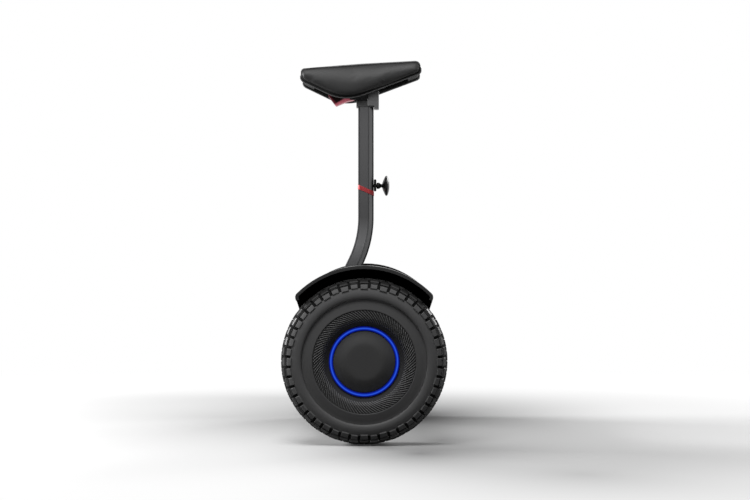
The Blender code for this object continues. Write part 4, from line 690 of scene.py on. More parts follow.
# %% The around-axle tree and the rows tree
def around_axle_tree():
    """Copies of a motif turned round an axle that lies along Y."""
    tree, given = repeat_tree("around_axle", {"Copies": 24, "Start angle": 0.0})
    points = add(tree, "GeometryNodeMeshLine", {"Count": given["Copies"], "Offset": (0, 0, 0)})
    share = maths(tree, "DIVIDE", 2 * math.pi, given["Copies"])
    index = add(tree, "GeometryNodeInputIndex")
    turn = maths(tree, "MULTIPLY_ADD", index, share, given["Start angle"])
    euler = add(tree, "ShaderNodeCombineXYZ", {"Y": maths(tree, "MULTIPLY", turn, -1.0)})
    return put_motif(tree, given, points, Rotation=euler)


def rows_tree():
    """Copies of a motif on a level grid of columns and rows."""
    tree, given = repeat_tree("in_rows", {"Columns": 4, "Rows": 2, "Pitch X": 0.01,
                                          "Pitch Y": 0.01})
    sizes = {}
    for axis, count in (("X", given["Columns"]), ("Y", given["Rows"])):
        gaps = maths(tree, "SUBTRACT", count, 1.0)
        sizes["Size " + axis] = maths(tree, "MULTIPLY", gaps, given["Pitch " + axis])
        sizes["Vertices " + axis] = count
    return put_motif(tree, given, add(tree, "GeometryNodeMeshGrid", sizes))


AROUND_AXLE, IN_ROWS = around_axle_tree(), rows_tree()


# %% Running the trees
def grow(name, tree, motif, inputs, smooth_angle=35):
    """Run a tree with its named inputs set, keep the result as a plain mesh, drop the motif."""
    piece = new_object(name, bpy.data.meshes.new(name))
    modifier = set_up(piece.modifiers.new(tree.name, "NODES"), node_group=tree)
    given = {"Motif": motif, **inputs}
    for socket in tree.interface.items_tree:
        if socket.in_out == "INPUT" and socket.name in given:
            modifier[socket.identifier] = given[socket.name]
    apply_modifiers(piece)
    bpy.data.objects.remove(motif)
    smooth_with_edges(piece.data, smooth_angle)
    return piece


def round_axle(name, motif, side, copies, start_angle, material, smooth_angle=35):
    """A motif repeated round the axle of one wheel."""
    centre = (0.0, side * WHEEL_Y, AXLE_Z)
    return grow(name, AROUND_AXLE, motif, {"Copies": copies, "Start angle": start_angle,
                                           "Centre": centre, "Finish": material}, smooth_angle)


def rows_of(name, motif, material, centre, columns, rows, pitch_x, pitch_y):
    """A motif repeated in rows, with its pitches in millimetres."""
    return grow(name, IN_ROWS, motif, {"Columns": columns, "Rows": rows, "Pitch X": pitch_x * MM,
                                       "Pitch Y": pitch_y * MM, "Centre": centre,
                                       "Finish": material})


for tree in (AROUND_AXLE, IN_ROWS):
    print(tree.name, "sockets:", [item.name for item in tree.interface.items_tree])

# %% [markdown]
# ## Tyres
# The tyre is the piece that makes the scooter what it is: 48 columns of blocks, in two kinds
# that take turns. One kind has a long block down its shoulder. The other has a taller block at
# the crown's edge and a shorter one under it, with a dark slot between. The smooth body of the
# tyre is a turned profile. Each kind of column is modelled once, on that profile, with drafted
# walls and a softened edge, and the tree repeats it 24 times. The grooves and the blocks' side
# walls get a near-black copy of the rubber, which is painted shade. The blocks on the crown get
# a darker rubber with more shine, whose darkness is painted shade as well.

# %% The tyre's smooth body
BLOCK_COLUMNS = 48
GROOVE_RADIUS = 122.6
CROWN_RADIUS = 130.4
WALL_TURN = 0.75
HALF_TYRE = curve_through([(0.0, 136.0), (12.0, 135.5), (24.0, 134.0), (31.0, 130.9),
                           (34.4, 127.2), (36.9, 122.6), (38.7, 118.4), (39.9, 114.4),
                           (40.2, 110.6), (39.7, 107.4)])
BEAD = [(38.6, 105.5), (36.8, 104.6), (35.0, 104.25), (34.0, 104.1), (34.0, 92.2)]
TYRE_SECTION = ([(-out, radius) for out, radius in reversed(HALF_TYRE + BEAD)]
                + HALF_TYRE[1:] + BEAD)


def on_tyre(reach, height):
    """Point (out, radius) at a height over the tyre's body, a given way from mid-crown."""
    left = abs(reach)
    for first, second in zip(HALF_TYRE, HALF_TYRE[1:]):
        run = Vector(second) - Vector(first)
        if left <= run.length or second == HALF_TYRE[-1]:
            spot = Vector(first) + run * (left / run.length)
            out, radius = spot + Vector((-run.y, run.x)).normalized() * height
            return math.copysign(out, reach), radius
        left -= run.length


def wheel_point(out, radius, angle):
    """A point by its place out along the axle and round it, from millimetres to metres."""
    return (radius * math.cos(angle) * MM, out * MM, radius * math.sin(angle) * MM)


print("tyre section:", len(TYRE_SECTION), "points; shoulder at", on_tyre(38, 0))


# %% Tread blocks
def tread_block(shape, reach, turn, height, draft=0.45, soft=0.5, sink=1.4, steps=2):
    """One rubber block over a stretch of the profile (mm) and a span of angle (degrees)."""
    levels = []
    for level, inset in ((-sink, 0.0), (height - soft, draft), (height, draft + soft)):
        start, end = reach[0] + inset, reach[1] - inset
        trim = math.degrees(inset / on_tyre((start + end) / 2, level)[1])
        stops = [start + (end - start) * k / steps for k in range(steps + 1)]
        loop = [(stop, turn[0] + trim) for stop in stops]
        loop += [(stop, turn[1] - trim) for stop in reversed(stops)]
        ring = []
        for stop, degrees in loop:
            ring.append(shape.verts.new(wheel_point(*on_tyre(stop, level),
                                                    math.radians(degrees))))
        levels.append(ring)
    skin(shape, levels)
    last = len(levels[0]) - 1
    for ring in (levels[0], levels[-1]):
        for k in range(steps):
            shape.faces.new((ring[k], ring[k + 1], ring[last - 1 - k], ring[last - k]))


def both_sides(shape, reach, turn, height, **more):
    """The same block on either side of the crown."""
    tread_block(shape, reach, turn, height, **more)
    tread_block(shape, (-reach[1], -reach[0]), turn, height, **more)


# %% Two kinds of column
def long_column():
    """Column with long middle blocks, an edge block and a broad shoulder block."""
    shape = bmesh.new()
    tread_block(shape, (-11.8, 11.8), (-5.3, 5.3), 2.8)
    for turn in ((-5.2, -0.2), (0.2, 5.2)):
        both_sides(shape, (0.5, 11.6), turn, 3.9)
    both_sides(shape, (14.6, 22.6), (-2.2, 2.2), 2.9)
    both_sides(shape, (24.4, 33.6), (-3.35, 3.35), 3.3, soft=1.1, steps=4)
    both_sides(shape, (35.2, 44.8), (-3.0, 3.0), 2.3, soft=0.8, steps=4)
    return from_bmesh("long_column", shape)


def split_column():
    """Column with tall crown edge blocks and a smaller shoulder block under them."""
    shape = bmesh.new()
    tread_block(shape, (-8.0, 8.0), (-1.0, 1.0), 3.4)
    for turn in ((-2.6, -0.2), (0.2, 2.6)):
        both_sides(shape, (13.6, 22.4), turn, 4.0, steps=1)
    both_sides(shape, (13.4, 34.0), (-2.8, 2.8), 2.6, steps=3)
    both_sides(shape, (23.2, 32.6), (-3.3, 3.3), 4.6, soft=1.1, steps=4)
    both_sides(shape, (34.2, 43.2), (-2.8, 2.8), 2.0, soft=0.8, steps=4)
    return from_bmesh("split_column", shape)


# %% Tyre pieces
for label, side in SIDES:
    body = lathe(label + "_tyre_body", TYRE_SECTION, HUB[label], side, TYRE_RUBBER, steps=240,
                 smooth_angle=50)
    body.data.materials.append(GROOVE_PAINTED_SHADE)
    columns = [round_axle(f"{label}_columns_{number}", column(), side, BLOCK_COLUMNS // 2,
                          number * 2 * math.pi / BLOCK_COLUMNS, TYRE_RUBBER)
               for number, column in enumerate((long_column, split_column))]
    body_faces = len(body.data.polygons)
    tyre = join_pieces(label + "_tyre", [body] + columns)
    tyre.data.materials.append(CROWN_RUBBER_PAINTED_SHADE)
    # Grooves and the blocks' side walls get the near-black painted shade, crown blocks the darker
    # rubber that is painted shade too.
    groove, crown = 1, len(tyre.data.materials) - 1
    for face in tyre.data.polygons:
        spot = face.center - HUB[label]
        reach = math.hypot(spot.x, spot.z)
        sideways = abs(face.normal.x * spot.z - face.normal.z * spot.x) / reach
        on_body = face.index < body_faces
        if (on_body and reach > GROOVE_RADIUS * MM) or (not on_body and sideways > WALL_TURN):
            face.material_index = groove
        elif not on_body and reach > CROWN_RADIUS * MM:
            face.material_index = crown
    settle(tyre, label + "_wheel", "tyre_rubber", "tyre_" + label)

# %% [markdown]
# ## Rims
# Inside the tyre lies a smooth ring that stands out most at its inner edge and slopes back
# towards the rubber. It is the outer lip of the motor's drum, painted satin black. It could be
# a plain cone, but one turned profile with a rounded shoulder gives the bright upper half and
# the dark lower half that such a slope shows. The drum, the disc behind the cover and the
# smaller inner lip belong to the same turned piece.

# %% Rim pieces
LIP_MM = LIP_RADIUS / MM / math.cos(math.pi / 32)
RIM_SLOPE = curve_through([(35.7, LIP_MM - 0.1), (35.8, 101.6), (36.3, 98.8), (37.2, 95.0),
                           (38.0, 91.0), (38.5, 88.4), (38.6, 87.2), (38.2, 86.5)])
RIM_SECTION = ([(-38.8, 84.2), (-38.8, 99.4), (-38.2, 100.0), (-34.9, 100.0), (-34.3, 99.4),
                (-34.3, 91.7), (34.3, 91.7), (34.3, LIP_MM - 0.4), (34.6, LIP_MM)] + RIM_SLOPE
               + [(38.0, 86.32), (33.5, 86.3), (22.2, 63.0), (22.2, 0.0), (18.0, 0.0),
                  (18.0, 84.2)])
for label, side in SIDES:
    rim = lathe(label + "_rim", RIM_SECTION, HUB[label], side, RIM_FINISH, smooth_angle=40)
    settle(rim, label + "_wheel", "rim_paint", "rim_" + label)
print("rim lip radius", round(LIP_MM, 2), "mm")

# %% [markdown]
# ## Hub covers
# The dished cover between the rim and the lit ring carries a hundred fine ribs that spiral
# out at about 46 degrees. A picture of lines would vanish in a side light, so the ribs are
# real: one rib is built along the spiral on the dish, and the tree repeats it. Every point of
# a rib comes from its radius: the dish gives its depth, and a logarithm gives its angle.

# %% Ribbed covers
DISH = curve_through([(25.6, 59.3), (25.6, 60.2), (26.8, 62.2), (29.8, 65.6), (33.5, 69.6),
                      (35.7, 72.6), (36.5, 76.0), (36.9, 80.8), (37.3, 85.2)])
COVER_SECTION = DISH + [(37.7, 85.7), (37.5, 86.0), (33.9, 86.0), (24.0, 63.4), (22.6, 62.8),
                        (22.6, 59.35), (26.1, 59.3)]
COVER_RIBS = 100
RIB_START, RIB_END = 67.0, 85.6
RIB_SLANT = math.radians(46.0)
RIB_HALF_WIDTH, RIB_HEIGHT = 0.85, 1.25
RIB_SECTION = ((-1.0, -0.4), (-0.62, 0.62), (0.0, 1.0), (0.62, 0.62), (1.0, -0.4))


def dish_depth(radius):
    """Depth of the cover's face at a radius, in millimetres."""
    return float(np.interp(radius, [point[1] for point in DISH], [point[0] for point in DISH]))


def cover_rib(side, stations=8):
    """One spiral rib, as wide as a pencil line, that fades out at both ends."""
    shape = bmesh.new()
    rings = []
    for share in (k / stations for k in range(stations + 1)):
        radius = RIB_START + (RIB_END - RIB_START) * share
        swell = min(1.0, 0.15 + 5 * share, 0.25 + 8 * (1 - share))
        middle = math.log(radius / RIB_START) * math.tan(RIB_SLANT)
        ring = []
        for across, up in RIB_SECTION:
            angle = middle + across * RIB_HALF_WIDTH / math.cos(RIB_SLANT) / radius
            lift = RIB_HEIGHT * swell * up if up > 0 else up
            out = side * (dish_depth(radius) + lift)
            ring.append(shape.verts.new(wheel_point(out, radius, angle)))
        rings.append(ring)
    return from_bmesh("cover_rib", skin(shape, rings, caps=True))


for label, side in SIDES:
    dish = lathe(label + "_dish", COVER_SECTION, HUB[label], side, COVER_FINISH)
    # The ribs wear the paler copy of the moulding, a painted highlight.
    ribs = round_axle(label + "_ribs", cover_rib(side), side, COVER_RIBS, 0.0, RIB_PAINTED_HIGHLIGHT, 60)
    settle(join_pieces(label + "_ribbed_cover", [dish, ribs]), label + "_wheel", "cover_plastic",
           "hub_cover_" + label)

# %% [markdown]
# ## Lit rings and caps
# A light guide runs round each cap: a milky strip with a bright core, deep blue at its edges.
# The strip is turned with a rounded face. Its glow depends on the distance from the axle, so
# the material measures that distance and picks a blue from a ramp. The cap is turned as well,
# with a nearly flat middle that falls away to the strip.

# %% Finish of the lit ring
GLOW_INNER, GLOW_OUTER = 0.0520, 0.0592


def lit_ring_finish():
    """Milky blue light guide with a bright core."""
    material, tree = new_material("lit_ring_blue")
    place = object_place(tree)
    split = add(tree, "ShaderNodeSeparateXYZ", {0: place}).outputs
    rise = maths(tree, "SUBTRACT", split["Z"], AXLE_Z)
    squares = [maths(tree, "MULTIPLY", way, way) for way in (split["X"], rise)]
    radius = maths(tree, "SQRT", maths(tree, "ADD", *squares))
    share = add(tree, "ShaderNodeMapRange", {"Value": radius, "From Min": GLOW_INNER,
                                             "From Max": GLOW_OUTER})
    glow = ramp(tree, share, [(0.0, (0.0, 0.002, 0.10, 1)), (0.25, (0.0, 0.012, 0.30, 1)),
                              (0.50, (0.018, 0.090, 0.72, 1)), (0.78, (0.0, 0.004, 0.18, 1)),
                              (1.0, (0.0, 0.002, 0.09, 1))], "EASE")
    bump = add(tree, "ShaderNodeBump", {"Strength": 0.15, "Distance": 0.0001,
                                        "Height": noise(tree, place, 300.0, 2.0)})
    shaded(tree, {"Base Color": (0.004, 0.010, 0.12, 1), "Roughness": 0.35, "Normal": bump,
                  "Specular IOR Level": 0.1, "Emission Strength": 1.0, "Emission Color": glow})
    return material


LIT_RING = lit_ring_finish()
print("the ring glows from", GLOW_INNER, "to", GLOW_OUTER, "m")

# %% Rings and caps
RING_SECTION = [(22.6, 52.1), (22.6, 58.9), (26.9, 58.9), (27.9, 58.2), (28.4, 56.8),
                (28.5, 55.5), (28.4, 54.2), (27.9, 52.8), (26.9, 52.1)]
CAP_FACE = curve_through([(35.9, 0.0), (35.9, 16.0), (35.8, 27.0), (35.1, 32.0),
                          (33.4, 37.0), (31.2, 41.8), (28.8, 46.4), (26.2, 51.3)])
CAP_SECTION = CAP_FACE + [(25.8, 51.7), (22.6, 51.7), (22.6, 48.7), (27.9, 40.3), (32.7, 24.0),
                          (32.7, 0.0)]
for label, side in SIDES:
    ring = lathe(label + "_lit_ring", RING_SECTION, HUB[label], side, LIT_RING, steps=160)
    settle(ring, label + "_wheel", "blue_light", "light_ring_" + label)
    cap = lathe(label + "_hub_cap", CAP_SECTION, HUB[label], side, CAP_FINISH, steps=160)
    settle(cap, label + "_wheel", "cover_plastic", "hub_cap_" + label)

# %% [markdown]
# ## Knee pads
# Each wing of the knee rest carries a fat cushion in soft black cover material. Its outline is
# thin at both ends and deep under the bar, its outer face is crowned, and its sides draw in
# towards a seam beside the shell. A modelled block would look like wood, so the cover is sewn
# in the computer: a slightly small cushion is remeshed evenly, held at its seam, and blown up
# as cloth until it is tight. A cap on the movement keeps it inside its space. The seam's
# piping comes afterwards, as the remesh would swallow it.

# %% Outline of a wing
def rounded_outline(corners, steps=8):
    """Outline through (x, z, radius) corners, with each corner rounded by an arc."""
    line = []
    for i, (x, z, radius) in enumerate(corners):
        here = Vector((x, z))
        before = (Vector(corners[i - 1][:2]) - here).normalized()
        after = (Vector(corners[(i + 1) % len(corners)][:2]) - here).normalized()
        half = before.angle(after) / 2
        back = radius / math.tan(half)
        centre = here + (before + after).normalized() * (radius / math.sin(half))
        start = here + before * back - centre
        sweep = start.angle_signed(here + after * back - centre)
        for turn in (-sweep * k / steps for k in range(steps + 1)):
            line.append((centre.x + start.x * math.cos(turn) - start.y * math.sin(turn),
                         centre.y + start.x * math.sin(turn) + start.y * math.cos(turn)))
    return line


def even_outline(line, step):
    """The same closed outline with points at an even step."""
    points = np.array(line + line[:1])
    lengths = np.concatenate([[0], np.cumsum(np.hypot(*np.diff(points, axis=0).T))])
    stops = np.linspace(0, lengths[-1], max(8, round(lengths[-1] / step)), endpoint=False)
    return [Vector((np.interp(s, lengths, points[:, 0]), np.interp(s, lengths, points[:, 1])))
            for s in stops]


PAD_LOW, PAD_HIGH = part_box("knee_pad_right")
PAD_INNER_Y = PAD_LOW.y
PAD_DEPTH = PAD_HIGH.y - PAD_LOW.y
WING_FRONT_X, WING_REAR_X = -0.1150, 0.1000
WING_FRONT_TOP, WING_REAR_TOP = PAD_HIGH.z - 0.0138, PAD_HIGH.z + 0.0007
WING_FRONT_HEIGHT, WING_REAR_HEIGHT = 0.0215, 0.0230
WING_KEEL = (-0.036, WING_REAR_TOP - 0.0740)
WING_CROWN = ((WING_FRONT_X + WING_REAR_X) / 2, (WING_FRONT_TOP + WING_REAR_TOP) / 2 + 0.0014)
WING_LINE = rounded_outline([(WING_FRONT_X, WING_FRONT_TOP - WING_FRONT_HEIGHT, 0.0104),
                             (*WING_KEEL, 0.080),
                             (WING_REAR_X, WING_REAR_TOP - WING_REAR_HEIGHT, 0.0060),
                             (WING_REAR_X, WING_REAR_TOP, 0.0100), (*WING_CROWN, 0.500),
                             (WING_FRONT_X, WING_FRONT_TOP, 0.0070)])
print("wing outline:", len(WING_LINE), "points; pad from", round(PAD_INNER_Y, 4), "deep",
      round(PAD_DEPTH, 4))


# %% Ridge and roll of a cushion
WING_SPINE = [Vector((WING_FRONT_X + 0.015, WING_FRONT_TOP - WING_FRONT_HEIGHT * 0.60)),
              Vector((WING_KEEL[0], WING_KEEL[1] + 0.022)),
              Vector((WING_REAR_X - 0.015, WING_REAR_TOP - WING_REAR_HEIGHT * 0.62))]
FACE_DEPTH = PAD_DEPTH * 0.95
SEAM_DEPTH = FACE_DEPTH * 0.16
EDGE_REACH = 0.0085
ROLL_RADIUS = 0.075
ROLL_AXIS = ((-0.115, 0.6090), (-0.020, 0.6005), (0.022, 0.6040), (0.066, 0.6100),
             (0.100, 0.6200))


def nearest_on_spine(point):
    """Nearest point of the low ridge that a pad's faces run to."""
    spots = []
    for start, end in zip(WING_SPINE, WING_SPINE[1:]):
        span = end - start
        share = max(0.0, min(1.0, (point - start).dot(span) / span.length_squared))
        spots.append(start + span * share)
    return min(spots, key=lambda spot: (spot - point).length)


def inset_outline(share, least=0.0):
    """The wing's outline moved towards the ridge by a share, but by a least distance."""
    line = []
    for point in even_outline(WING_LINE, 0.004):
        ridge = nearest_on_spine(point)
        gap = (ridge - point).length
        line.append(point.lerp(ridge, min(0.95, max(share, least / gap))))
    return line


def roll_depth(spot):
    """Depth of the outer face: a broad roll whose axis lies low, so its top leans away."""
    axis = float(np.interp(spot.x, [x for x, z in ROLL_AXIS], [z for x, z in ROLL_AXIS]))
    lift = max(-0.85, min(0.85, (spot.y - axis) / ROLL_RADIUS))
    return FACE_DEPTH - ROLL_RADIUS * (1 - math.sqrt(1 - lift * lift))


def face_point(spot, rise, side):
    """Point of the pad's outer side over a spot of its side view."""
    depth = SEAM_DEPTH + max(0.002, roll_depth(spot) - SEAM_DEPTH) * rise
    return (spot.x, side * (PAD_INNER_Y + depth), spot.y)


# %% Cushion before it is blown up
def cushion_start(name, side):
    """Concentric outlines that run from the shell over a soft edge to the rolled face."""
    loops = [[(spot.x, side * (PAD_INNER_Y + rise * SEAM_DEPTH), spot.y)
              for spot in inset_outline(inwards)]
             for inwards, rise in ((0.10, 0.0), (0.05, 0.5), (0.02, 1.0))]
    for turn in (math.radians(degrees) for degrees in range(12, 85, 12)):
        loops.append([face_point(spot, math.sin(turn), side)
                      for spot in inset_outline(0.02, EDGE_REACH * (1 - math.cos(turn)))])
    for inwards in (0.30, 0.45, 0.60, 0.74, 0.86, 0.95):
        loops.append([face_point(spot, 1.0, side) for spot in inset_outline(inwards, EDGE_REACH)])
    return loft(name, loops, None, smooth_angle=180)


# %% Blow the cushion up as cloth
CLOTH_FRAMES = 20


def points_of(piece):
    """A piece's points as rows of an array."""
    flat = np.empty(len(piece.data.vertices) * 3)
    piece.data.vertices.foreach_get("co", flat)
    return flat.reshape(-1, 3)


def swell(piece, side, most=0.0035):
    """Inflate a closed shape as cloth held at its seam, and cap how far each point moves."""
    held = piece.vertex_groups.new(name="held")
    held_depth = PAD_INNER_Y + SEAM_DEPTH + 0.001
    held.add([v.index for v in piece.data.vertices if abs(v.co.y) < held_depth], 1.0, "REPLACE")
    before = points_of(piece)
    cloth = piece.modifiers.new("cover", "CLOTH")
    set_up(cloth.settings, quality=6, mass=0.25, tension_stiffness=18, compression_stiffness=18,
           bending_stiffness=0.6, use_pressure=True, uniform_pressure_force=4.0,
           vertex_group_mass="held", pin_stiffness=1.0)
    cloth.settings.effector_weights.gravity = 0.0
    cloth.collision_settings.use_collision = False
    set_up(cloth.point_cache, frame_start=1, frame_end=CLOTH_FRAMES)
    for number in range(1, CLOTH_FRAMES + 1):
        bpy.context.scene.frame_set(number)
    apply_modifiers(piece)
    bpy.context.scene.frame_set(1)
    move = points_of(piece) - before
    length = np.linalg.norm(move, axis=1, keepdims=True)
    spots = before + move * np.minimum(1.0, most / np.maximum(length, 1e-9))
    spots[:, 1] = np.where(side * spots[:, 1] < PAD_INNER_Y, side * PAD_INNER_Y, spots[:, 1])
    piece.data.vertices.foreach_set("co", spots.ravel())
    piece.data.update()
    print(piece.name, "swelled", round(float(length.max()) / MM, 2), "mm, capped at", most / MM)


# %% One knee cushion
def cushion(name, side):
    piece = cushion_start(name, side)
    modified(piece, "REMESH", mode="VOXEL", voxel_size=0.0042)
    modified(piece, "CORRECTIVE_SMOOTH", iterations=6, use_only_smooth=True)
    swell(piece, side)
    modified(piece, "SUBSURF", levels=1, render_levels=1)
    piece.data.shade_smooth()
    return piece


# %% [markdown]
# ## Cover material and piping
# The cover is a soft synthetic leather: fine pebbles over slow creases. They could be raised in
# the mesh, but they are finer than its faces, so two textures on the object's own coordinates
# give them as a small bump. The piping is a real tube, because it shows on the pad's outline.

# %% Cover material of the pads
def pad_cover_finish():
    """Soft synthetic leather: pebbled grain and slow creases."""
    material, tree = new_material("pad_cover")
    place = object_place(tree)
    pebbles = add(tree, "ShaderNodeTexVoronoi", {"Vector": place, "Scale": 900.0,
                                                 "Randomness": 0.9}).outputs["Distance"]
    creases = noise(tree, place, 26.0, 3.0, Distortion=0.6)
    broad = add(tree, "ShaderNodeBump", {"Strength": 0.35, "Distance": 0.0012, "Height": creases})
    fine = add(tree, "ShaderNodeBump", {"Strength": 0.5, "Distance": 0.00012, "Height": pebbles,
                                        "Normal": broad})
    tone = ramp(tree, creases, [(0.30, (0.025, 0.025, 0.0253, 1)),
                                (0.75, (0.036, 0.036, 0.0365, 1))])
    rough = add(tree, "ShaderNodeMapRange", {"Value": pebbles, "To Min": 0.46, "To Max": 0.54})
    shaded(tree, {"Base Color": tone, "Roughness": rough, "Normal": fine})
    return material


PAD_COVER = pad_cover_finish()
duller_at_edges(PAD_COVER, 0.27, 0.32, 0.56)
print("nodes in the pad cover:", len(PAD_COVER.node_tree.nodes))


# %% Pads and the piping along their seam
PIPING_RADIUS = 0.0018


def tube_round(name, line, radius, material, sides=8):
    """A tube along a closed line of points that lies in a plane across Y."""
    across = Vector((0, 1, 0))
    loops = []
    for i, point in enumerate(line):
        up = (line[(i + 1) % len(line)] - line[i - 1]).cross(across).normalized()
        loops.append([point + (across * math.cos(turn) + up * math.sin(turn)) * radius
                      for turn in (2 * math.pi * k / sides for k in range(sides))])
    return loft(name, loops, material, closed=True, smooth_angle=60)


for label, side in SIDES:
    pad = cushion(label + "_knee_pad", side)
    pad.data.materials.append(PAD_COVER)
    seam = []
    for point in even_outline(WING_LINE, 0.0035):
        ridge = nearest_on_spine(point)
        hidden = 0.0022 if point.y > ridge.y else 0.0006
        spot = point + (ridge - point).normalized() * hidden
        seam.append(Vector((spot.x, side * (PAD_INNER_Y + 0.0026), spot.y)))
    piping = tube_round(label + "_pad_piping", seam, PIPING_RADIUS, PIPING_FINISH)
    settle(pad, "knee_rest", "pad_cover", "knee_pad_" + label)
    settle(piping, "knee_rest", "pad_cover")

# %% [markdown]
# ## Fenders
# Each wheel runs under a thin arched fender. It has a rolled lip on its outer edge and a flat
# wall on its inner side. The solid already has the right section, so a merged copy of it gets
# rounded edges, which catch the thin lines of light that show how thin the plastic is. The
# faces that look at the tyre get a black of their own, because hardly any light comes there.

# %% Fender pieces
FENDER_LIP = 0.0012
UPWARD_SHARE = 0.3
for label, side in SIDES:
    fender = refined("fender_" + label, label + "_fender", FENDER_FINISH, bevel=1.1, angle=32)
    fender.data.materials.append(FENDER_PAINTED_SHADE)
    # Faces that look at the tyre take the near-black painted shade.
    outer = max(abs(vertex.co.y) for vertex in fender.data.vertices)
    for face in fender.data.polygons:
        out = face.center - Vector((0, face.center.y, AXLE_Z))
        under = face.normal.dot(out.normalized()) < UPWARD_SHARE
        face.material_index = int(under and abs(face.center.y) < outer - FENDER_LIP)
    settle(fender, "chassis", "fender_plastic", "fender_" + label)

# %% [markdown]
# ## Inner side of the wheels
# The side of the wheel that faces the deck closes the motor with a cover held by eight
# screws. A valve with a threaded stem stands beside it. The screws come from the around-axle
# tree, and the valve is turned with its thread as rings. Small motifs are turned as well, or
# built up from three levels, like the ribs and the charge bars further down.

# %% Motifs for screws, studs and bars
def turned_motif(name, profile, axis, at=(0, 0, 0), sides=12, hexagon=()):
    """A small turned motif with its base at a point and its head along an axis."""
    along = Vector(axis)
    across = along.orthogonal().normalized()
    return from_bmesh(name, turned(profile, at, (along, across, along.cross(across)), sides,
                                   hexagon))


def screw_motif(name, axis, at=(0, 0, 0), radius=3.0, height=1.8):
    """Screw head with a hexagon socket."""
    socket = radius * 0.48
    profile = [(-0.6, 0.0), (-0.6, radius), (height - 0.4, radius), (height, radius - 0.4),
               (height, socket), (height - 1.1, socket), (height - 1.1, 0.0)]
    return turned_motif(name, profile, axis, at, hexagon=(4, 5))


def bar_motif(name, length, width, height, soft):
    """A low bar with softened upper edges, its foot on the ground plane (mm)."""
    shape = bmesh.new()
    levels = []
    for level, inset in ((-0.4, 0.0), (height - soft, 0.0), (height, soft)):
        x, y = (length / 2 - inset) * MM, (width / 2 - inset) * MM
        levels.append([shape.verts.new((a * x, b * y, level * MM))
                       for a, b in ((-1, -1), (1, -1), (1, 1), (-1, 1))])
    return from_bmesh(name, skin(shape, levels, caps=True))


# %% Motor covers and valves
VALVE_X = middle_of("valve_left").x
THREADS, THREAD_PITCH = 6, 0.6
MOTOR_SCREWS, SCREW_CIRCLE, SCREW_FACE = 8, 0.0735, 0.0388
VALVE_SECTION = [(-39.1, 0.0), (-39.1, 2.55), (-41.0, 2.55), (-41.3, 1.9)]
for ridge in range(THREADS):
    VALVE_SECTION += [(-41.6 - ridge * THREAD_PITCH, 2.25), (-41.9 - ridge * THREAD_PITCH, 1.9)]
VALVE_SECTION += [(-45.3, 2.5), (-48.4, 2.5), (-49.0, 2.1), (-49.0, 0.0)]
for label, side in SIDES:
    cover = refined("motor_cover_" + label, label + "_motor_cover", RIM_FINISH, bevel=0.7,
                    segments=2, angle=35)
    screw = screw_motif("motor_screw", (0, -side, 0), (SCREW_CIRCLE, -side * SCREW_FACE, 0), 2.9,
                        1.7)
    screws = round_axle(label + "_motor_screws", screw, side, MOTOR_SCREWS,
                        math.pi / MOTOR_SCREWS, STEEL_FINISH)
    settle(join_pieces(label + "_motor_side", [cover, screws]), label + "_wheel", "rim_paint",
           "motor_cover_" + label)
    valve = lathe(label + "_tyre_valve", VALVE_SECTION, (VALVE_X, side * WHEEL_Y, AXLE_Z), side,
                  BRASS_FINISH, steps=24)
    settle(valve, label + "_wheel", "valve_brass", "valve_" + label)

# %% [markdown]
# ## Deck and foot mats
# The rider stands on two rubber mats set in the deck, one for each foot, with rows of low
# studs for grip. The deck and the cover under it are plain mouldings, so copies of the solids
# with rounded edges do well. The studs, skid ribs and screws come from the rows tree.

# %% Deck, mats and underside
DECK_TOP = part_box("deck_cover")[1].z
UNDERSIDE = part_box("bottom_cover")[0].z
MAT_Y = 0.106
STUD_SECTION = [(-0.4, 0.0), (-0.4, 3.0), (0.35, 2.6), (0.8, 1.9), (0.95, 0.0)]
deck = refined("deck_cover", "deck_moulding", HOUSING_FINISH, bevel=1.0, angle=35)
deck_screws = rows_of("deck_screws", screw_motif("deck_screw", (0, 0, 1), radius=2.6, height=0.9),
                      STEEL_FINISH, (0.003, 0.0, DECK_TOP), columns=2, rows=2, pitch_x=178,
                      pitch_y=60)
settle(join_pieces("deck_shell", [deck, deck_screws]), "chassis", "housing_plastic",
       "deck_cover")
for label, side in SIDES:
    mat = refined("foot_mat_" + label, label + "_mat_base", MAT_RUBBER, bevel=0.6, segments=2)
    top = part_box("foot_mat_" + label)[1].z
    studs = rows_of(label + "_studs", turned_motif("stud", STUD_SECTION, (0, 0, 1), sides=10),
                    MAT_RUBBER, (0.0, side * MAT_Y, top), columns=17, rows=11, pitch_x=9.6,
                    pitch_y=9.4)
    settle(join_pieces(label + "_foot_mat", [mat, studs]), label + "_mat", "soft_rubber",
           "foot_mat_" + label)
under = refined("bottom_cover", "underside_moulding", HOUSING_FINISH, bevel=1.0, angle=35)
ribs = rows_of("skid_ribs", bar_motif("skid_rib", 3.2, 296, 1.2, 0.5), HOUSING_FINISH,
               (0.0, 0.0, 0.0), columns=5, rows=1, pitch_x=26, pitch_y=1)
ribs.data.transform(Matrix.Translation((0, 0, UNDERSIDE)) @ Matrix.Diagonal((1, 1, -1, 1)))
ribs.data.flip_normals()
screws = rows_of("underside_screws", screw_motif("underside_screw", (0, 0, -1)), STEEL_FINISH,
                 (0.0, 0.0, UNDERSIDE), columns=2, rows=4, pitch_x=130, pitch_y=96)
settle(join_pieces("underside", [under, ribs, screws]), "chassis", "housing_plastic",
       "bottom_cover")

# %% [markdown]
# ## Lights, display and sockets
# A clear strip lights the way in front and a red one glows behind. Both are lenses over a row
# of small light cells, which the material draws from the distance along the strip. On the deck
# a dark lens covers five small bars that tell the charge.

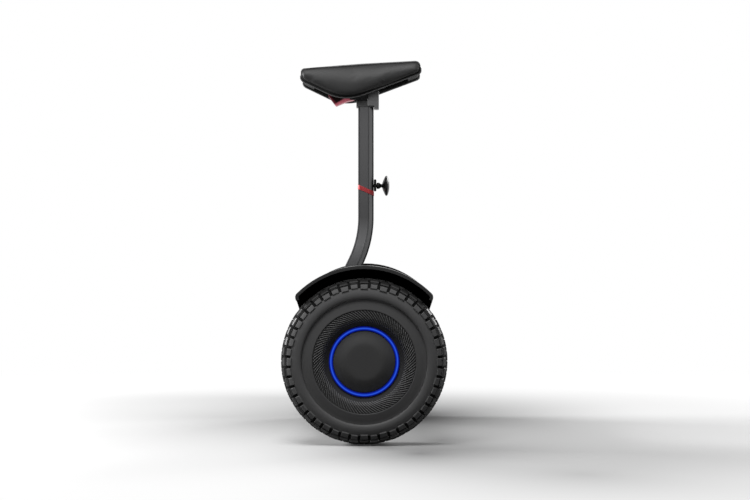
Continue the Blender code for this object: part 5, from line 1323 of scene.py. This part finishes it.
# %% Lens finishes
def strip_lens(name, colour, cell_colour, pitch, glow=0.0):
    """A fluted lens over a row of light cells along Y, with the pitch in millimetres."""
    material, tree = new_material(name)
    place = object_place(tree)
    split = add(tree, "ShaderNodeSeparateXYZ", {0: place})
    cell = maths(tree, "FRACT", maths(tree, "DIVIDE", split.outputs["Y"], pitch * MM))
    cells = ramp(tree, cell, [(0.20, (*colour, 1)), (0.36, (*cell_colour, 1)),
                              (0.64, (*cell_colour, 1)), (0.80, (*colour, 1))])
    flutes = add(tree, "ShaderNodeTexWave", {"Vector": place, "Scale": 110.0},
                 bands_direction="Y").outputs["Fac"]
    bump = add(tree, "ShaderNodeBump", {"Strength": 0.5, "Distance": 0.0003, "Height": flutes})
    shaded(tree, {"Base Color": cells, "Emission Color": cells, "Emission Strength": glow,
                  "Roughness": 0.14, "Coat Weight": 0.6, "Coat Roughness": 0.06,
                  "Normal": bump})
    return material


CLEAR_LENS = strip_lens("clear_strip", (0.42, 0.44, 0.46), (0.86, 0.84, 0.62), 10)
RED_LENS = strip_lens("red_strip", (0.20, 0.003, 0.005), (0.55, 0.02, 0.02), 8)
DARK_LENS = finish("dark_lens", (0.006, 0.006, 0.007), 0.10, coat=0.6, grains=300, depth=0.002)
BAR_GLOW = strip_lens("charge_bars", (0.02, 0.20, 0.75), (0.05, 0.35, 0.95), 50, glow=0.6)
print("finishes so far:", len(bpy.data.materials))

# %% Lights, display, button and sockets
BUTTON, PORT = middle_of("power_button"), middle_of("charge_socket")
BUTTON_SECTION = [(106.1, 0.0), (106.1, 7.0), (109.8, 7.0), (110.4, 6.6), (110.6, 5.9),
                  (110.4, 5.2), (109.9, 4.4), (109.7, 0.0)]
PIN_SECTION = [(94.0, 0.0), (94.0, 0.9), (102.4, 0.9), (103.0, 0.5), (103.0, 0.0)]
PIN_CIRCLE = 0.0032
settle_copy("front_light", "front_light_strip", CLEAR_LENS, "chassis", "clear_lens")
settle_copy("tail_light", "tail_light_strip", RED_LENS, "chassis", "red_lens")
window = refined("display_lens", "display_window", DARK_LENS, bevel=0.4, segments=2)
bars = rows_of("charge_bars", bar_motif("charge_bar", 3.0, 9.0, 0.12, 0.05), BAR_GLOW,
               (middle_of("display_lens").x, 0.0, DECK_TOP), columns=5, rows=1, pitch_x=7,
               pitch_y=1)
settle(join_pieces("charge_display", [window, bars]), "chassis", "dark_lens", "display_lens")
key = lathe("power_key", BUTTON_SECTION, (0, BUTTON.y, BUTTON.z), 1, GLOSS_FINISH, steps=48,
            axis="X")
settle(key, "button", "gloss_black", "power_button")
settle_copy("charge_flap", "port_flap", MAT_RUBBER, "flap", "soft_rubber", bevel=0.5, segments=2)
port = [refined("charge_socket", "port_body", HOUSING_FINISH, bevel=0.4, segments=2)]
for number in range(3):
    turn = 2 * math.pi * number / 3 + math.pi / 2
    spot = (0, PORT.y + PIN_CIRCLE * math.cos(turn), PORT.z + PIN_CIRCLE * math.sin(turn))
    port.append(lathe(f"port_pin_{number}", PIN_SECTION, spot, 1, BRASS_FINISH, steps=12,
                      axis="X"))
settle(join_pieces("charge_port", port), "chassis", "housing_plastic", "charge_socket")

# %% [markdown]
# ## Steering bar
# The bar is one aluminium section, bent at its foot and painted graphite. It has a flat side,
# a narrow bevel in front and a wide one behind, with a fine groove where the wide bevel starts.
# Bevelling a box would lose the groove in the bend, so the section is drawn once and carried
# along the bar's own line. The upper sleeve is the same section, cut on the slant of the red
# ring, with a bore for the clamp's screw.

# %% Measures and section of the bar
BAR_X = middle_of("upper_sleeve").x
SLEEVE_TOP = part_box("upper_sleeve")[1].z
KNOB_Z = middle_of("clamp_knob").z
BEND_TOP, BEND_RADIUS, BEND_ANGLE = 0.3855, 0.186, math.radians(26.0)
BEND_STEPS, FOOT_RUN = 24, 0.0941
RING_MIDDLE, RING_SLANT, RING_HALF = 0.4340, -0.43, 0.0044
BEVEL_TURN, GROOVE_SIDE = 0.20, 0.0105
HALF_BAR = [(-14.0, 0.0), (-14.0, 12.4), (-13.6, 13.7), (-12.4, 15.2), (-10.9, 16.0),
            (3.9, 16.0), (4.3, 14.5), (5.4, 14.5), (5.8, 16.0), (6.3, 15.8), (11.2, 11.2),
            (13.4, 8.8), (14.0, 7.2), (14.0, 0.0)]
BAR_SECTION = HALF_BAR + [(depth, -across) for depth, across in HALF_BAR[-2:0:-1]]
BORE_SECTION = [(depth * 0.80, across * 0.82) for depth, across in BAR_SECTION]


print("bar section:", len(BAR_SECTION), "points, upright at", round(BAR_X, 4))


# %% Line of the bar
def level_loop(section, height, slant=0.0):
    """The section on the upright part, level or on a slant."""
    return [(BAR_X + d * MM, w * MM, height + slant * d * MM) for d, w in section]


def bent_loop(section, angle, run=0.0):
    """The section in the bend, or a straight run past it."""
    x = BAR_X - BEND_RADIUS * (1 - math.cos(angle)) - run * math.sin(angle)
    z = BEND_TOP - BEND_RADIUS * math.sin(angle) - run * math.cos(angle)
    return [(x + d * MM * math.cos(angle), w * MM, z - d * MM * math.sin(angle))
            for d, w in section]


def lower_line(section):
    """Loops of a section down the lower bar."""
    bend = [bent_loop(section, BEND_ANGLE * i / BEND_STEPS) for i in range(BEND_STEPS + 1)]
    return ([level_loop(section, RING_MIDDLE - RING_HALF, RING_SLANT)] + bend
            + [bent_loop(section, BEND_ANGLE, FOOT_RUN)])


def sleeve_line(section):
    """Loops of a section up the sleeve."""
    return [level_loop(section, RING_MIDDLE + RING_HALF, RING_SLANT),
            level_loop(section, SLEEVE_TOP)]


# %% Tubes and their bevels
def tube(name, line_of):
    """A hollow length of the bar, with its bore skinned back inside it."""
    loops = line_of(BAR_SECTION) + line_of(BORE_SECTION)[::-1]
    return loft(name, loops, BAR_PAINT, closed=True, smooth_angle=28)


def paint_light_on_bevels(piece):
    """Paint shade on the front bevel and the rear edge, and a highlight on the wide bevel."""
    for material in (BAR_PAINTED_HIGHLIGHT, BAR_PAINTED_SHADE):
        piece.data.materials.append(material)
    for face in piece.data.polygons:
        if face.normal.x < -BEVEL_TURN:
            face.material_index = 2
        elif face.normal.x > BEVEL_TURN:
            face.material_index = 1 if abs(face.center.y) > GROOVE_SIDE else 2


# %% Lower bar and sleeve
bar = tube("steering_bar", lower_line)
paint_light_on_bevels(bar)
settle(bar, "steering", "bar_paint", "lower_bar")
sleeve = tube("height_sleeve", sleeve_line)
drill = lathe("drill", [(8.0, 0.0), (8.0, 3.7), (24.0, 3.7), (24.0, 0.0)], (0, 0, KNOB_Z), 1,
              None, steps=24, axis="X")
modified(sleeve, "BOOLEAN", operation="DIFFERENCE", object=drill, solver="EXACT")
sleeve.data.set_sharp_from_angle(angle=math.radians(28))
bpy.data.objects.remove(drill)
paint_light_on_bevels(sleeve)
settle(sleeve, "sleeve", "bar_paint", "upper_sleeve")

# %% [markdown]
# ## Ring, clamp, knob and collar
# A slanted red ring marks the joint of the two tubes. Behind it a small plate holds the black
# knob that clamps the sleeve. The knob is turned in one go: screw, ball, thin neck and flared
# head. The collar closes the sleeve and carries the block that the rest slides over. A cowl
# closes the deck round the bar's foot. All but the knob are copies with rounded edges.

# %% Pieces round the bar
KNOB_SECTION = [(13.0, 0.0), (13.0, 2.6), (13.4, 3.0), (20.9, 3.0), (20.9, 4.6), (21.6, 5.4),
                (23.2, 5.8), (25.2, 5.6), (27.0, 4.7), (28.4, 3.3), (29.6, 3.0), (30.8, 3.3),
                (31.6, 6.0), (33.0, 9.8), (34.8, 13.6), (36.0, 16.2), (37.0, 17.6),
                (38.2, 18.2), (39.4, 18.2), (40.6, 17.2), (41.8, 14.6), (43.0, 10.6),
                (43.9, 6.0), (44.2, 0.0)]
settle_copy("bar_ring", "slant_ring", RED_FINISH, "steering", "red_plastic", bevel=0.6, angle=28)
settle_copy("clamp_plate", "knob_plate", GLOSS_FINISH, "sleeve", "gloss_black")
knob = lathe("flared_knob", KNOB_SECTION, (0, 0, KNOB_Z), 1, GLOSS_FINISH, steps=96, axis="X")
settle(knob, "knob", "gloss_black", "clamp_knob")
settle_copy("bar_top", "sleeve_collar", COLLAR_FINISH, "sleeve", "housing_plastic", bevel=0.7)
settle_copy("steering_cover", "foot_cowl", HOUSING_FINISH, "chassis", "housing_plastic",
            bevel=1.4, segments=4, angle=35)

# %% [markdown]
# ## Knee rest's shell, latch and lever
# Between the cushions lies a moulded shell. Under it are the socket that drops over the bar's
# post, the latch block, and the red lever that frees it. These are small machined or moulded
# blocks, so the solids' copies with rounded edges serve, each in its own finish. The lever is
# really two arms that meet at its tip. The solid is one block, so its finish paints the arms:
# a pale red on the lower one, which is a painted highlight, a deep red for the tip, and black
# for the gap, which is painted shade.

# %% Finish of the lever
LEVER_TIP = Vector((-0.0519, 0.0, 0.5859))
LEVER_ACROSS = Vector((-0.530, 0.0, 0.848))
LEVER_INWARD = Vector((0.768, 0.0, 0.640))


def lever_share(tree, direction, start, end):
    """How far a place lies past the lever's tip along a direction, from start to end."""
    reach = add(tree, "ShaderNodeVectorMath", {0: object_place(tree), 1: direction},
                operation="DOT_PRODUCT")
    tip = LEVER_TIP.dot(direction)
    return add(tree, "ShaderNodeMapRange", {"Value": reach, "From Min": tip + start,
                                            "From Max": tip + end})


def lever_finish():
    """Two red arms that meet at the tip, with a painted highlight on the lower one and painted shade
    in black between them.
    """
    material = finish("lever_red", (0.105, 0.014, 0.022), 0.45, metallic=0.9, depth=0.012)
    tree = material.node_tree
    # The gap between the arms gets painted shade, and the lower arm a painted highlight.
    gap = lever_share(tree, LEVER_INWARD, 0.0030, 0.0046)
    lower_arm_highlight = ramp(tree, lever_share(tree, LEVER_ACROSS, 0.0, 0.0085),
                     [(0.30, (1, 1, 1, 1)), (0.66, (0, 0, 0, 1))])
    for factor, second in ((gap, (0.010, 0.004, 0.004, 1)), (lower_arm_highlight, (0.52, 0.13, 0.17, 1))):
        repaint(tree, shader_of(material), lambda colour: add(
            tree, "ShaderNodeMix", {"Factor": factor, "A": colour, "B": second},
            data_type="RGBA"))
    return material


# %% Shell, socket, block and lever
# The shell's finish is black plastic with painted shade.
settle_copy("knee_shell", "rest_shell", SHELL_BLACK_AND_PAINTED_SHADE, "knee_rest", "housing_plastic", bevel=1.6,
            segments=4, angle=32)
settle_copy("rest_socket", "post_socket", HOUSING_FINISH, "knee_rest", "housing_plastic",
            bevel=0.6, segments=2)
settle_copy("latch_block", "rest_latch", LATCH_FINISH, "knee_rest", "housing_plastic")
settle_copy("release_lever", "red_lever", lever_finish(), "lever", "red_plastic", bevel=0.7,
            angle=35)

# %% [markdown]
# ## Solids that stay
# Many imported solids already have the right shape, mostly inside the housing and the motors.
# They are not moved or changed. Each one only gets its finish, by name.

# %% Finishes of the solids that stay
def dress(material, *nodes):
    """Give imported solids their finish. A name that ends in _ stands for a left and right pair."""
    for node in nodes:
        for name in [node + label for label, side in SIDES] if node.endswith("_") else [node]:
            for material_slot in NODES[name].material_slots:
                material_slot.material = material


dress(ALLOY_FINISH, "chassis_frame", "axle_clamp_")
dress(HOUSING_FINISH, "steering_housing")
dress(STEEL_FINISH, "axle_", "magnet_ring_", "bearing_", "steering_pin", "lever_pin",
      "inner_tube", "steering_hub")
dress(BATTERY_FINISH, "battery_pack")
dress(BOARD_FINISH, "control_board")
dress(WINDING_FINISH, "stator_")
dress(MAT_RUBBER, "centring_bush")
print("finishes in all:", len(bpy.data.materials))
